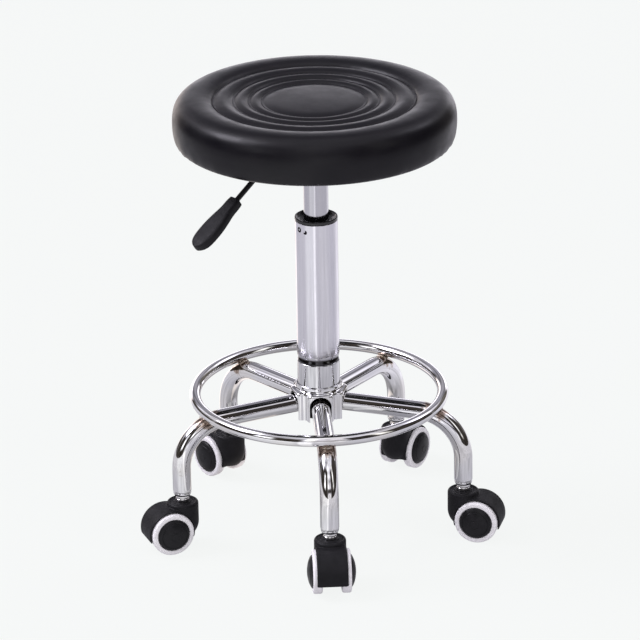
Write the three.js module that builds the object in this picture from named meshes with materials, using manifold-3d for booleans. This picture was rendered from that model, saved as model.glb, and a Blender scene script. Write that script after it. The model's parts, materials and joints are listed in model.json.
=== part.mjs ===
// A rolling stylist stool: a round padded seat on a gas lift, carried by a five-legged chromed base
// with a foot ring and five twin-wheel casters. Millimetres, +Z up, the floor at Z = 0. The origin is
// under the middle of the whole stool's box, and the front leg points along -Y.
import * as THREE from "three";
import { mergeVertices } from "three/addons/utils/BufferGeometryUtils.js";
import Module from "manifold-3d";

// ---------------------------------------------------------------- driving dimensions

const GAP = 0.3; // between neighbours that touch on the real stool
const COLUMN_Y = 15.4; // the column's axis lies behind the middle of the five-cornered base

// Base: five legs round a hub, and a foot ring on their bends.
const LEG_COUNT = 5;
const LEG_RADIUS = 10.7;
const LEG_WALL = 1.6;
const LEG_REACH = 170.7; // the column's axis to a caster's stem
const LEG_ROOT_Z = 155.4;
const LEG_FALL = THREE.MathUtils.degToRad(2.2);
const LEG_BEND_RADIUS = 55;
const LEG_END_Z = 65;
const LEG_END_RADIUS = 9.5; // the foot of the leg is drawn in
const LEG_END_TAPER = 6.5;
const LEG_PLUG_TOP_Z = 92;
const SLEEVE_RADIUS = 24.4;
const SLEEVE_BORE = 20.8;
const SLEEVE_BOTTOM_Z = 140;
const SLEEVE_TOP_Z = 205.5;
const SKIRT_RADIUS = 25.8;
const SKIRT_BOTTOM_Z = 138;
const SKIRT_TOP_Z = 178;
const ARCH_RADIUS = 12.4;
const ARCH_CENTRE_Z = 156.9;
const CANOPY_WALL = 1.8;
const CANOPY_REACH = 31.5;
const RING_RADIUS = 143.2;
const RING_TUBE_RADIUS = 6.5;
const RING_WELD_GAP = 0.8; // the weld bead's height between the ring and a leg

// Gas lift: an outer column, a guide bush, a pressure tube that rises, and a fixed piston rod.
const COLUMN_RADIUS = 24.5;
const COLUMN_BORE = 23;
const COLUMN_SHOULDER_Z = 211.6;
const COLUMN_TOP_Z = 377.5;
const COLUMN_FOOT_Z = 150;
const NECK_RADIUS = 23.6;
const TUBE_RADIUS = 14.2;
const TUBE_BORE = 12.5;
const TUBE_BOTTOM_Z = 200;
const TUBE_TOP_Z = 452;
const ROD_RADIUS = 5;
const ROD_BOTTOM_Z = 145;
const ROD_TOP_Z = 340;
const BUSH_TOP_Z = 381.5;
const BUSH_FOOT_Z = 300;
const BUTTON_RADIUS = 4;
const BUTTON_TOP_Z = 457.1;

// Seat: a padded disc on a board, a bolted plate with the lift's socket, and the release lever.
const SEAT_RADIUS = 161;
const SEAT_BOTTOM_Z = 472.5;
const SEAT_TOP_Z = 528;
const BOARD_RADIUS = 146.2;
const BOARD_THICKNESS = 11.7;
const PLATE_SIDE = 120;
const PLATE_THICKNESS = 3;
const PLATE_CORNER = 12;
const BOLT_RADIUS = 3;
const BOLT_OFFSET = 45; // each bolt from the plate's two centre lines
const BOX_HALF_WIDTH = 24;
const BOX_HALF_LENGTH = 35;
const BOX_WALL = 2.5;
const BOX_BOTTOM_Z = 448;
const BOX_FLOOR = 3;
const SOCKET_RADIUS = 19.5;
const SOCKET_BOTTOM_Z = 430;

const LEVER_AZIMUTH = THREE.MathUtils.degToRad(-49.1);
const LEVER_RADIUS = 3;
const LEVER_INNER_REACH = -10; // just past the button
const LEVER_BEND_REACH = 94;
const LEVER_BEND_Z = 451;
const LEVER_AXIS_Z = 461; // the rod's height over the button
const LEVER_BEND_RADIUS = 14;
const LEVER_DROOP = THREE.MathUtils.degToRad(32.1);
const PIVOT_REACH = 28;
const PIVOT_RADIUS = 2;
const GRIP_START = 34.9; // from the rod's bend to the grip's shoulder
const GRIP_LENGTH = 73.5;
const GRIP_THICKNESS = 12;
const GRIP_SOCKET_DEPTH = 30;

// Casters: each trails outward, with a wheel on each side of its hood.
const WHEEL_RADIUS = 25;
const TRAIL = 19;
const AXLE_RADIUS = 2.5;
const AXLE_HALF_LENGTH = 23.5;
const TYRE_INNER_FACE = 11; // from the caster's middle plane
const TYRE_OUTER_FACE = 21.7;
const TYRE_BORE = 19.2;
const CAP_TIP = 27.6;
const HOOD_HALF_WIDTH = 18;
const HOOD_WEB_HALF = 10;
const HOOD_RADIUS = 27.5;
const HOOD_TAIL_ANGLE = THREE.MathUtils.degToRad(-16);
const HOOD_BOTTOM_Z = 17;
const WELL_RADIUS = 25.8;
const HOUSING_RADIUS = 18.2;
const HOUSING_TOP_Z = 57.2;
const STEM_COLLAR_RADIUS = 7.6;
const STEM_SHANK_RADIUS = 5.5;
const STEM_FOOT_RADIUS = 5;
const STEM_FOOT_Z = 40;
const STEM_SOCKET_GAP = 0.8; // clears the eight-sided stem as the hood turns round it
const STEM_TOP_Z = 88;

// ---------------------------------------------------------------- solids

const wasm = await Module();
wasm.setup();

/** A closed geometry as a solid, with shared corners merged and collapsed faces dropped. */
function solid(geometry) {
  geometry.deleteAttribute("normal");
  geometry.deleteAttribute("uv");
  const merged = mergeVertices(geometry, 1e-4);
  const corners = merged.index.array;
  const faces = [];
  for (let i = 0; i < corners.length; i += 3) {
    const [a, b, c] = corners.slice(i, i + 3);
    if (a !== b && b !== c && c !== a) faces.push(a, b, c);
  }
  const vertProperties = merged.attributes.position.array;
  const triVerts = new Uint32Array(faces);
  return new wasm.Manifold(new wasm.Mesh({ numProp: 3, vertProperties, triVerts }));
}

/** A solid of revolution about Z from [radius, z] points: up the outside, down the inside. */
function turned(points, segments) {
  const profile = points.map(([r, z]) => new THREE.Vector2(r, z));
  return new THREE.LatheGeometry(profile, segments).rotateX(Math.PI / 2);
}

/** A ring or bored disc of revolution: the profile closes on itself. */
function turnedRing(points, segments) {
  return turned([...points, points[0]], segments);
}

/** A cylinder about Z from one height to another. */
function rod(radius, bottom, top, segments) {
  return turned([[0, bottom], [radius, bottom], [radius, top], [0, top]], segments);
}

/** A cylinder along X, centred on a point of the X = 0 plane. */
function crossRod(radius, halfLength, y, z, segments) {
  return rod(radius, -halfLength, halfLength, segments).rotateY(Math.PI / 2).translate(0, y, z);
}

/** A shape of width X and height Z, extruded along -Y between two distances. */
function extrudedOutward(shape, from, to, curveSegments) {
  const options = { depth: to - from, bevelEnabled: false, curveSegments };
  const geometry = new THREE.ExtrudeGeometry(shape, options);
  return geometry.translate(0, 0, from).rotateX(Math.PI / 2);
}

/** A side outline of distance -Y and height Z, extruded to the same half width each way along X. */
function extrudedAcross(shape, halfWidth, curveSegments) {
  const options = { depth: 2 * halfWidth, bevelEnabled: false, curveSegments };
  const geometry = new THREE.ExtrudeGeometry(shape, options).translate(0, 0, -halfWidth);
  const outward = new THREE.Vector3(0, -1, 0);
  const up = new THREE.Vector3(0, 0, 1);
  const across = new THREE.Vector3(-1, 0, 0);
  return geometry.applyMatrix4(new THREE.Matrix4().makeBasis(outward, up, across));
}

/** A path through stations, one step of an extrusion between each pair, however far apart. */
class StationPath extends THREE.Curve {
  constructor(stations) {
    super();
    this.stations = stations;
  }

  getPoint(t, target = new THREE.Vector3()) {
    const place = THREE.MathUtils.clamp(t, 0, 1) * (this.stations.length - 1);
    const i = Math.min(Math.floor(place), this.stations.length - 2);
    return target.lerpVectors(this.stations[i], this.stations[i + 1], place - i);
  }

  getPointAt(u, target) {
    return this.getPoint(u, target);
  }

  getTangentAt(u, target) {
    return this.getTangent(u, target);
  }
}

/** A round bar swept along stations in the X = 0 plane. */
function sweptBar(stations, radius, sides) {
  const section = new THREE.Shape().absarc(0, 0, radius, 0, 2 * Math.PI);
  const options = {
    steps: stations.length - 1,
    curveSegments: sides / 2, // an arc is drawn with twice as many
    bevelEnabled: false,
    extrudePath: new StationPath(stations),
  };
  return new THREE.ExtrudeGeometry(section, options);
}

/** A station at a distance along -Y and a height. */
function station(outward, z) {
  return new THREE.Vector3(0, -outward, z);
}

/** Stations round an arc that turns downward, from one slope below the horizontal to another. */
function downwardBend(centreOutward, centreZ, radius, fromSlope, toSlope, steps) {
  return Array.from({ length: steps + 1 }, (_, i) => {
    const slope = THREE.MathUtils.lerp(fromSlope, toSlope, i / steps);
    return station(centreOutward + radius * Math.sin(slope), centreZ + radius * Math.cos(slope));
  });
}

// ---------------------------------------------------------------- materials and placing

const finishes = {
  chrome: { color: 0xd9d8dc, roughness: 0.1, metalness: 1 },
  satinChrome: { color: 0xc9c8cd, roughness: 0.28, metalness: 1 },
  leather: { color: 0x1d1c1f, roughness: 0.45, metalness: 0 },
  plywood: { color: 0x8a6b48, roughness: 0.8, metalness: 0 },
  blackSteel: { color: 0x1a1a1b, roughness: 0.5, metalness: 0.6 },
  zincSteel: { color: 0xa7a9ab, roughness: 0.4, metalness: 1 },
  blackPlastic: { color: 0x1b1b1d, roughness: 0.55, metalness: 0 },
  greyTyre: { color: 0xcfced2, roughness: 0.6, metalness: 0 },
};

/** A named mesh with a material of its own. */
function piece(name, shape, finish) {
  const made = shape instanceof THREE.BufferGeometry ? solid(shape) : shape;
  const { vertProperties, triVerts } = made.getMesh();
  const geometry = new THREE.BufferGeometry();
  geometry.setAttribute("position", new THREE.BufferAttribute(vertProperties, 3));
  geometry.setIndex(new THREE.BufferAttribute(triVerts, 1));
  geometry.computeVertexNormals();
  const mesh = new THREE.Mesh(geometry, new THREE.MeshStandardMaterial(finishes[finish]));
  mesh.name = name;
  return mesh;
}

/** A group of pieces, turned about Z. */
function turnedGroup(azimuth, ...children) {
  const group = new THREE.Group();
  group.rotation.z = azimuth;
  return group.add(...children);
}

// ---------------------------------------------------------------- base

const legAzimuths = [0, 1, -1, 2, -2].map((step) => (step * 2 * Math.PI) / LEG_COUNT);

const rootReach = SLEEVE_RADIUS + GAP;
const bendCentreReach = LEG_REACH - LEG_BEND_RADIUS;
const bendStartReach = bendCentreReach + LEG_BEND_RADIUS * Math.sin(LEG_FALL);
const bendStartZ = LEG_ROOT_Z - (bendStartReach - rootReach) * Math.tan(LEG_FALL);
const bendCentreZ = bendStartZ - LEG_BEND_RADIUS * Math.cos(LEG_FALL);

/** The leg's centreline from inside the hub to a height over its stem. */
function legStations(endZ) {
  const inside = rootReach / 2;
  const insideZ = LEG_ROOT_Z + (rootReach - inside) * Math.tan(LEG_FALL);
  const bendSteps = 7;
  return [
    station(inside, insideZ),
    ...downwardBend(
      bendCentreReach, bendCentreZ, LEG_BEND_RADIUS, LEG_FALL, Math.PI / 2, bendSteps,
    ),
    station(LEG_REACH, endZ),
  ];
}

/** The ring of metal that drawing in the leg's foot takes away. */
function legEndTrim() {
  const clear = LEG_RADIUS + 4;
  const profile = [
    [LEG_END_RADIUS, LEG_END_Z - 1],
    [clear, LEG_END_Z - 1],
    [clear, LEG_END_Z + LEG_END_TAPER],
    [LEG_RADIUS + 0.2, LEG_END_Z + LEG_END_TAPER],
    [LEG_END_RADIUS, LEG_END_Z],
  ];
  return solid(turnedRing(profile, 12).translate(0, -LEG_REACH, 0));
}

/** A bent leg tube, open at its root against the sleeve and plugged round the caster's stem. */
function leg() {
  const outside = solid(sweptBar(legStations(LEG_END_Z), LEG_RADIUS, 12));
  const hollow = solid(sweptBar(legStations(LEG_PLUG_TOP_Z), LEG_RADIUS - LEG_WALL, 6));
  const stemBore = rod(STEM_SHANK_RADIUS + GAP, LEG_END_Z - 1, LEG_PLUG_TOP_Z + 1, 8);
  const sleeveClearance = rod(rootReach, SLEEVE_BOTTOM_Z - 10, SLEEVE_TOP_Z, 24);
  return outside
    .subtract(hollow)
    .subtract(solid(stemBore.translate(0, -LEG_REACH, 0)))
    .subtract(solid(sleeveClearance))
    .subtract(legEndTrim());
}

/** The inner sleeve that holds the column and that the legs are welded to. */
function baseSleeve() {
  const profile = [
    [SLEEVE_BORE, SLEEVE_BOTTOM_Z],
    [SLEEVE_RADIUS, SLEEVE_BOTTOM_Z],
    [SLEEVE_RADIUS, SLEEVE_TOP_Z],
    [SLEEVE_BORE, SLEEVE_TOP_Z],
  ];
  return turnedRing(profile, 28);
}

/** An arch over a leg: a half round on straight sides that run below the skirt. */
function archShape(radius, bottom) {
  const shape = new THREE.Shape();
  shape.moveTo(radius, bottom);
  shape.lineTo(radius, ARCH_CENTRE_Z);
  shape.absarc(0, ARCH_CENTRE_Z, radius, 0, Math.PI);
  shape.lineTo(-radius, bottom);
  return shape;
}

/** The chromed hub: a skirt round the sleeve, arched and hooded over each leg. */
function hub() {
  const lip = SKIRT_RADIUS + 1.8;
  const bore = SLEEVE_RADIUS + GAP;
  const profile = [
    [bore, SKIRT_BOTTOM_Z],
    [SKIRT_RADIUS, SKIRT_BOTTOM_Z],
    [SKIRT_RADIUS, SKIRT_TOP_Z - 9],
    [lip, SKIRT_TOP_Z - 6],
    [lip, SKIRT_TOP_Z - 3.5],
    [SKIRT_RADIUS, SKIRT_TOP_Z - 0.5],
    [bore, SKIRT_TOP_Z],
  ];
  let made = solid(turnedRing(profile, 30));
  const inside = solid(rod(bore, SKIRT_BOTTOM_Z - 1, SKIRT_TOP_Z + 1, 30));
  for (const azimuth of legAzimuths) {
    const outer = archShape(ARCH_RADIUS + CANOPY_WALL, ARCH_CENTRE_Z - 4);
    const canopy = extrudedOutward(outer, bore - 3, CANOPY_REACH, 5).rotateZ(azimuth);
    made = made.add(solid(canopy));
  }
  for (const azimuth of legAzimuths) {
    const opening = archShape(ARCH_RADIUS, SKIRT_BOTTOM_Z - 2);
    const cut = extrudedOutward(opening, bore - 8, CANOPY_REACH + 2, 5).rotateZ(azimuth);
    made = made.subtract(solid(cut));
  }
  return made.subtract(inside);
}

/** The foot ring, resting on the outer side of the legs' bends. */
function footRing() {
  const reachFromBend = RING_RADIUS - bendCentreReach;
  const touching = LEG_BEND_RADIUS + LEG_RADIUS + RING_TUBE_RADIUS + RING_WELD_GAP;
  const centreZ = bendCentreZ + Math.sqrt(touching ** 2 - reachFromBend ** 2);
  return new THREE.TorusGeometry(RING_RADIUS, RING_TUBE_RADIUS, 10, 36).translate(0, 0, centreZ);
}

// ---------------------------------------------------------------- casters

/** The caster's stem: a shank up the leg, a collar, and a foot in the hood's socket. */
function stem() {
  const collarTop = LEG_END_Z - GAP;
  const collarBottom = HOUSING_TOP_Z + GAP;
  const profile = [
    [0, STEM_FOOT_Z],
    [STEM_FOOT_RADIUS, STEM_FOOT_Z],
    [STEM_FOOT_RADIUS, collarBottom],
    [STEM_COLLAR_RADIUS, collarBottom],
    [STEM_COLLAR_RADIUS, collarTop],
    [STEM_SHANK_RADIUS, collarTop],
    [STEM_SHANK_RADIUS, STEM_TOP_Z],
    [0, STEM_TOP_Z],
  ];
  return turned(profile, 8);
}

/** The hood seen from the side: a drum round the axle, cut off level below it. */
function hoodOutline() {
  const shape = new THREE.Shape();
  const stemSide = Math.PI + Math.asin((WHEEL_RADIUS - HOOD_BOTTOM_Z) / HOOD_RADIUS);
  shape.absarc(TRAIL, WHEEL_RADIUS, HOOD_RADIUS, HOOD_TAIL_ANGLE, stemSide);
  return shape;
}

/** The round housing about the stem, shouldered at the top and drawn in at the bottom. */
function hoodHousing() {
  const profile = [
    [0, HOOD_BOTTOM_Z],
    [HOUSING_RADIUS - 9, HOOD_BOTTOM_Z],
    [HOUSING_RADIUS - 3.5, HOOD_BOTTOM_Z + 4.5],
    [HOUSING_RADIUS - 0.8, HOOD_BOTTOM_Z + 10],
    [HOUSING_RADIUS, HOOD_BOTTOM_Z + 16],
    [HOUSING_RADIUS, HOUSING_TOP_Z - 4],
    [HOUSING_RADIUS - 1.2, HOUSING_TOP_Z - 1.2],
    [HOUSING_RADIUS - 4, HOUSING_TOP_Z],
    [0, HOUSING_TOP_Z],
  ];
  return solid(turned(profile, 16));
}

/** The hood: drum and housing in one, with a well for each wheel, a stem socket and an axle bore. */
function hood() {
  const socket = rod(STEM_FOOT_RADIUS + STEM_SOCKET_GAP, STEM_FOOT_Z - GAP, HOUSING_TOP_Z + 1, 8);
  const axleBore = crossRod(AXLE_RADIUS + GAP, HOOD_HALF_WIDTH + 1, -TRAIL, WHEEL_RADIUS, 8);
  let made = solid(extrudedAcross(hoodOutline(), HOOD_HALF_WIDTH, 8))
    .add(hoodHousing())
    .subtract(solid(socket))
    .subtract(solid(axleBore));
  for (const side of [-1, 1]) {
    const depth = (HOOD_HALF_WIDTH + 2 - HOOD_WEB_HALF) / 2;
    const well = crossRod(WELL_RADIUS, depth, -TRAIL, WHEEL_RADIUS, 20);
    made = made.subtract(solid(well.translate(side * (HOOD_WEB_HALF + depth), 0, 0)));
  }
  return made;
}

/** A wheel's moulded centre: a bored boss, a rim for the tyre and a domed cap. */
function wheelCore() {
  const rim = TYRE_BORE - GAP;
  const profile = [
    [0, AXLE_HALF_LENGTH + GAP],
    [AXLE_RADIUS + GAP, AXLE_HALF_LENGTH + GAP],
    [AXLE_RADIUS + GAP, HOOD_WEB_HALF + 0.6],
    [6, HOOD_WEB_HALF + 0.6],
    [6, TYRE_INNER_FACE + 1],
    [rim, TYRE_INNER_FACE + 1],
    [rim, TYRE_OUTER_FACE],
    [rim - 2.5, CAP_TIP - 3.2],
    [rim - 9, CAP_TIP - 0.8],
    [0, CAP_TIP],
  ];
  return turned(profile, 16);
}

/** A wheel's tyre: a ring with eased shoulders. */
function tyre() {
  const shoulder = 1.3;
  const profile = [
    [WHEEL_RADIUS - shoulder, TYRE_INNER_FACE],
    [WHEEL_RADIUS, TYRE_INNER_FACE + shoulder],
    [WHEEL_RADIUS, TYRE_OUTER_FACE - shoulder],
    [WHEEL_RADIUS - shoulder, TYRE_OUTER_FACE],
    [TYRE_BORE, TYRE_OUTER_FACE],
    [TYRE_BORE, TYRE_INNER_FACE],
  ];
  return turnedRing(profile, 16);
}

/** One caster, trailing along -Y from a stem on the Z axis. */
function caster(number) {
  const group = new THREE.Group();
  const axle = crossRod(AXLE_RADIUS, AXLE_HALF_LENGTH, -TRAIL, WHEEL_RADIUS, 8);
  group.add(
    piece(`caster_${number}_stem`, stem(), "chrome"),
    piece(`caster_${number}_hood`, hood(), "blackPlastic"),
    piece(`caster_${number}_axle`, axle, "zincSteel"),
  );
  for (const [side, turn] of [["left", -1], ["right", 1]]) {
    const wheel = new THREE.Group();
    wheel.position.set(0, -TRAIL, WHEEL_RADIUS);
    wheel.rotation.y = (turn * Math.PI) / 2;
    wheel.add(
      piece(`caster_${number}_core_${side}`, wheelCore(), "blackPlastic"),
      piece(`caster_${number}_tyre_${side}`, tyre(), "greyTyre"),
    );
    group.add(wheel);
  }
  group.position.y = -LEG_REACH;
  return group;
}

// ---------------------------------------------------------------- gas lift

/** The outer column: a tube with a necked foot that seats in the sleeve, and a floor for the rod. */
function columnTube() {
  const foot = SLEEVE_BORE - GAP;
  const footBore = foot - 2;
  const seat = SLEEVE_TOP_Z + GAP;
  const profile = [
    [ROD_RADIUS + 0.4, COLUMN_FOOT_Z],
    [foot, COLUMN_FOOT_Z],
    [foot, seat],
    [NECK_RADIUS, seat],
    [NECK_RADIUS, COLUMN_SHOULDER_Z],
    [COLUMN_RADIUS, COLUMN_SHOULDER_Z],
    [COLUMN_RADIUS, COLUMN_TOP_Z],
    [COLUMN_BORE, COLUMN_TOP_Z],
    [COLUMN_BORE, COLUMN_SHOULDER_Z + 4],
    [footBore, seat + 3],
    [footBore, COLUMN_FOOT_Z + 4],
    [ROD_RADIUS + 0.4, COLUMN_FOOT_Z + 4],
  ];
  return turnedRing(profile, 28);
}

/** The plastic bush that guides the pressure tube, flanged and dished at the column's mouth. */
function guideBush() {
  const bore = TUBE_RADIUS + 0.35;
  const profile = [
    [bore, BUSH_FOOT_Z],
    [COLUMN_BORE - GAP, BUSH_FOOT_Z],
    [COLUMN_BORE - GAP, COLUMN_TOP_Z + GAP],
    [COLUMN_RADIUS - 0.4, COLUMN_TOP_Z + GAP],
    [COLUMN_RADIUS - 0.4, BUSH_TOP_Z - 0.8],
    [COLUMN_RADIUS - 1.2, BUSH_TOP_Z],
    [COLUMN_RADIUS - 5, BUSH_TOP_Z],
    [bore + 2, BUSH_TOP_Z - 3],
    [bore, BUSH_TOP_Z - 3],
  ];
  return turnedRing(profile, 24);
}

/** The pressure tube: capped round the release button and glanded round the piston rod. */
function pressureTube() {
  const cap = 6;
  const profile = [
    [ROD_RADIUS + GAP, TUBE_BOTTOM_Z],
    [TUBE_RADIUS, TUBE_BOTTOM_Z],
    [TUBE_RADIUS, SOCKET_BOTTOM_Z - 1],
    [TUBE_RADIUS - 0.4, TUBE_TOP_Z],
    [BUTTON_RADIUS + GAP, TUBE_TOP_Z],
    [BUTTON_RADIUS + GAP, TUBE_TOP_Z - cap],
    [TUBE_BORE, TUBE_TOP_Z - cap],
    [TUBE_BORE, TUBE_BOTTOM_Z + cap],
    [ROD_RADIUS + GAP, TUBE_BOTTOM_Z + cap],
  ];
  return turnedRing(profile, 24);
}

const bearingTopZ = COLUMN_FOOT_Z + 8.3;

/** The piston rod: a clip groove at its foot, a shoulder over the bearing, a piston at its head. */
function pistonRod() {
  const groove = ROD_RADIUS - 1.1;
  const shoulder = bearingTopZ + GAP;
  const piston = TUBE_BORE - 0.4;
  const profile = [
    [0, ROD_BOTTOM_Z],
    [ROD_RADIUS, ROD_BOTTOM_Z],
    [ROD_RADIUS, COLUMN_FOOT_Z - 2],
    [groove, COLUMN_FOOT_Z - 2],
    [groove, COLUMN_FOOT_Z],
    [ROD_RADIUS, COLUMN_FOOT_Z],
    [ROD_RADIUS, shoulder],
    [ROD_RADIUS + 2, shoulder],
    [ROD_RADIUS + 2, shoulder + 2],
    [ROD_RADIUS, shoulder + 2],
    [ROD_RADIUS, ROD_TOP_Z - 10],
    [piston, ROD_TOP_Z - 10],
    [piston, ROD_TOP_Z],
    [0, ROD_TOP_Z],
  ];
  return turned(profile, 12);
}

/** A flat washer-like ring. */
function washer(bore, radius, bottom, top, segments) {
  return turnedRing([[bore, bottom], [radius, bottom], [radius, top], [bore, top]], segments);
}

// ---------------------------------------------------------------- seat

/** The upholstered cushion: flat on top, rolled at the rim, wrapped round the board below. */
function seatCushion() {
  const recess = BOARD_RADIUS + GAP;
  const recessTop = SEAT_BOTTOM_Z + BOARD_THICKNESS + 2 * GAP;
  const profile = [
    [0, recessTop],
    [recess, recessTop],
    [recess, SEAT_BOTTOM_Z],
    [SEAT_RADIUS - 8.5, SEAT_BOTTOM_Z],
    [SEAT_RADIUS - 4, SEAT_BOTTOM_Z + 5],
    [SEAT_RADIUS - 0.8, SEAT_BOTTOM_Z + 15],
    [SEAT_RADIUS, SEAT_BOTTOM_Z + 26],
    [SEAT_RADIUS - 0.8, SEAT_BOTTOM_Z + 35],
    [SEAT_RADIUS - 4, SEAT_BOTTOM_Z + 43],
    [SEAT_RADIUS - 11, SEAT_BOTTOM_Z + 50],
    [SEAT_RADIUS - 22, SEAT_TOP_Z - 1.5],
    [SEAT_RADIUS - 38, SEAT_TOP_Z],
    [0, SEAT_TOP_Z],
  ];
  return turned(profile, 36);
}

const boltPlaces = [[1, 1], [-1, 1], [-1, -1], [1, -1]].map((corner) =>
  corner.map((sign) => sign * BOLT_OFFSET),
);
const boltTopZ = SEAT_BOTTOM_Z + 10;

/** The shank holes of the four plate bolts, between two heights. */
function drillBoltHoles(made, bottom, top) {
  for (const [x, y] of boltPlaces) {
    made = made.subtract(solid(rod(BOLT_RADIUS + GAP, bottom, top, 8).translate(x, y, 0)));
  }
  return made;
}

/** The plywood disc inside the cushion. */
function seatBoard() {
  const bottom = SEAT_BOTTOM_Z + GAP;
  const disc = solid(rod(BOARD_RADIUS, bottom, bottom + BOARD_THICKNESS, 36));
  return drillBoltHoles(disc, bottom - 1, boltTopZ + GAP);
}

/** A square with rounded corners, centred on the origin. */
function roundedSquare(side, corner) {
  const reach = side / 2 - corner;
  const shape = new THREE.Shape();
  shape.absarc(reach, reach, corner, 0, Math.PI / 2);
  shape.absarc(-reach, reach, corner, Math.PI / 2, Math.PI);
  shape.absarc(-reach, -reach, corner, Math.PI, 1.5 * Math.PI);
  shape.absarc(reach, -reach, corner, 1.5 * Math.PI, 2 * Math.PI);
  return shape;
}

/** The channel that boxes in the lever under the plate. */
function channelShape() {
  const inner = BOX_HALF_WIDTH - BOX_WALL;
  const floor = BOX_BOTTOM_Z + BOX_FLOOR;
  const top = SEAT_BOTTOM_Z - 1;
  return new THREE.Shape([
    new THREE.Vector2(-BOX_HALF_WIDTH, BOX_BOTTOM_Z),
    new THREE.Vector2(BOX_HALF_WIDTH, BOX_BOTTOM_Z),
    new THREE.Vector2(BOX_HALF_WIDTH, top),
    new THREE.Vector2(inner, top),
    new THREE.Vector2(inner, floor),
    new THREE.Vector2(-inner, floor),
    new THREE.Vector2(-inner, top),
    new THREE.Vector2(-BOX_HALF_WIDTH, top),
  ]);
}

const leverSlope = Math.atan((LEVER_AXIS_Z - LEVER_BEND_Z) / LEVER_BEND_REACH);
const pivotZ = LEVER_AXIS_Z - PIVOT_REACH * Math.tan(leverSlope);

/** The seat plate: a bolted square, the lever's channel and the socket for the pressure tube. */
function mountingPlate() {
  const options = { depth: PLATE_THICKNESS, bevelEnabled: false, curveSegments: 2 };
  const square = new THREE.ExtrudeGeometry(roundedSquare(PLATE_SIDE, PLATE_CORNER), options);
  const plate = solid(square.translate(0, 0, SEAT_BOTTOM_Z - PLATE_THICKNESS));
  const channel = extrudedOutward(channelShape(), -BOX_HALF_LENGTH, BOX_HALF_LENGTH, 1);
  const socket = rod(SOCKET_RADIUS, SOCKET_BOTTOM_Z, BOX_BOTTOM_Z + 1, 24);
  const socketBore = rod(TUBE_RADIUS + 0.35, SOCKET_BOTTOM_Z - 1, BOX_BOTTOM_Z + BOX_FLOOR + 1, 24);
  const pinHoles = crossRod(PIVOT_RADIUS + GAP, BOX_HALF_WIDTH + 1, -PIVOT_REACH, pivotZ, 8);
  const made = plate
    .add(solid(channel))
    .add(solid(socket))
    .subtract(solid(socketBore))
    .subtract(solid(pinHoles));
  return drillBoltHoles(made, SEAT_BOTTOM_Z - PLATE_THICKNESS - 1, SEAT_BOTTOM_Z + 1);
}

/** A hexagon-headed plate bolt. */
function plateBolt([x, y]) {
  const seat = SEAT_BOTTOM_Z - PLATE_THICKNESS - GAP;
  const head = solid(rod(5.8, seat - 4, seat, 6).translate(x, y, 0));
  return head.add(solid(rod(BOLT_RADIUS, seat - 1, boltTopZ, 8).translate(x, y, 0)));
}

/** The lever's bent rod with the cross barrel that its pivot pin runs through. */
function leverRod() {
  const inner = station(LEVER_INNER_REACH, LEVER_AXIS_Z - LEVER_INNER_REACH * Math.tan(leverSlope));
  const setback = LEVER_BEND_RADIUS * Math.tan((LEVER_DROOP - leverSlope) / 2);
  const startReach = LEVER_BEND_REACH - setback * Math.cos(leverSlope);
  const startZ = LEVER_BEND_Z + setback * Math.sin(leverSlope);
  const centreReach = startReach - LEVER_BEND_RADIUS * Math.sin(leverSlope);
  const centreZ = startZ - LEVER_BEND_RADIUS * Math.cos(leverSlope);
  const end = GRIP_START + GRIP_SOCKET_DEPTH - GAP;
  const stations = [
    inner,
    ...downwardBend(centreReach, centreZ, LEVER_BEND_RADIUS, leverSlope, LEVER_DROOP, 3),
    station(
      LEVER_BEND_REACH + end * Math.cos(LEVER_DROOP),
      LEVER_BEND_Z - end * Math.sin(LEVER_DROOP),
    ),
  ];
  const barrelBore = crossRod(PIVOT_RADIUS + GAP, 10, -PIVOT_REACH, pivotZ, 8);
  return solid(sweptBar(stations, LEVER_RADIUS, 10))
    .add(solid(crossRod(4.6, 8, -PIVOT_REACH, pivotZ, 12)))
    .subtract(solid(barrelBore));
}

/** The pivot pin, headed at one end. */
function pivotPin() {
  const shank = solid(crossRod(PIVOT_RADIUS, BOX_HALF_WIDTH + 2, -PIVOT_REACH, pivotZ, 8));
  const head = crossRod(PIVOT_RADIUS + 1.5, 1, -PIVOT_REACH, pivotZ, 10);
  return shank.add(solid(head.translate(BOX_HALF_WIDTH + 1 + GAP, 0, 0)));
}

/** The paddle grip: waisted behind its shoulder, widest past the middle, round at the end. */
function leverGrip() {
  const halfWidths = [
    [0, 6.8], [6, 7.8], [15, 7.8], [27, 9.6], [39, 11.6], [49, 12], [60, 10.8], [67, 7.6], [71, 3],
  ];
  const bevel = 2.5;
  const outline = new THREE.Shape();
  outline.moveTo(halfWidths[0][1] - bevel, bevel);
  for (const [along, half] of halfWidths.slice(1)) outline.lineTo(half - bevel, along - bevel / 2);
  outline.lineTo(0, GRIP_LENGTH - bevel);
  for (const [along, half] of halfWidths.slice(1).reverse()) {
    outline.lineTo(bevel - half, along - bevel / 2);
  }
  outline.lineTo(bevel - halfWidths[0][1], bevel);
  const options = {
    depth: GRIP_THICKNESS - 2 * bevel,
    bevelThickness: bevel,
    bevelSize: bevel,
    bevelSegments: 1,
  };
  const paddle = new THREE.ExtrudeGeometry(outline, options);
  const socket = rod(LEVER_RADIUS + GAP, -1, GRIP_SOCKET_DEPTH, 10);
  return solid(paddle.translate(0, 0, bevel - GRIP_THICKNESS / 2).rotateZ(Math.PI)).subtract(
    solid(socket.rotateX(Math.PI / 2)),
  );
}

/** The grip in place on the drooping end of the rod. */
function placedGrip() {
  const mesh = piece("lever_grip", leverGrip(), "blackPlastic");
  mesh.position.set(
    0,
    -(LEVER_BEND_REACH + GRIP_START * Math.cos(LEVER_DROOP)),
    LEVER_BEND_Z - GRIP_START * Math.sin(LEVER_DROOP),
  );
  mesh.rotation.x = LEVER_DROOP;
  return mesh;
}

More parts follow.
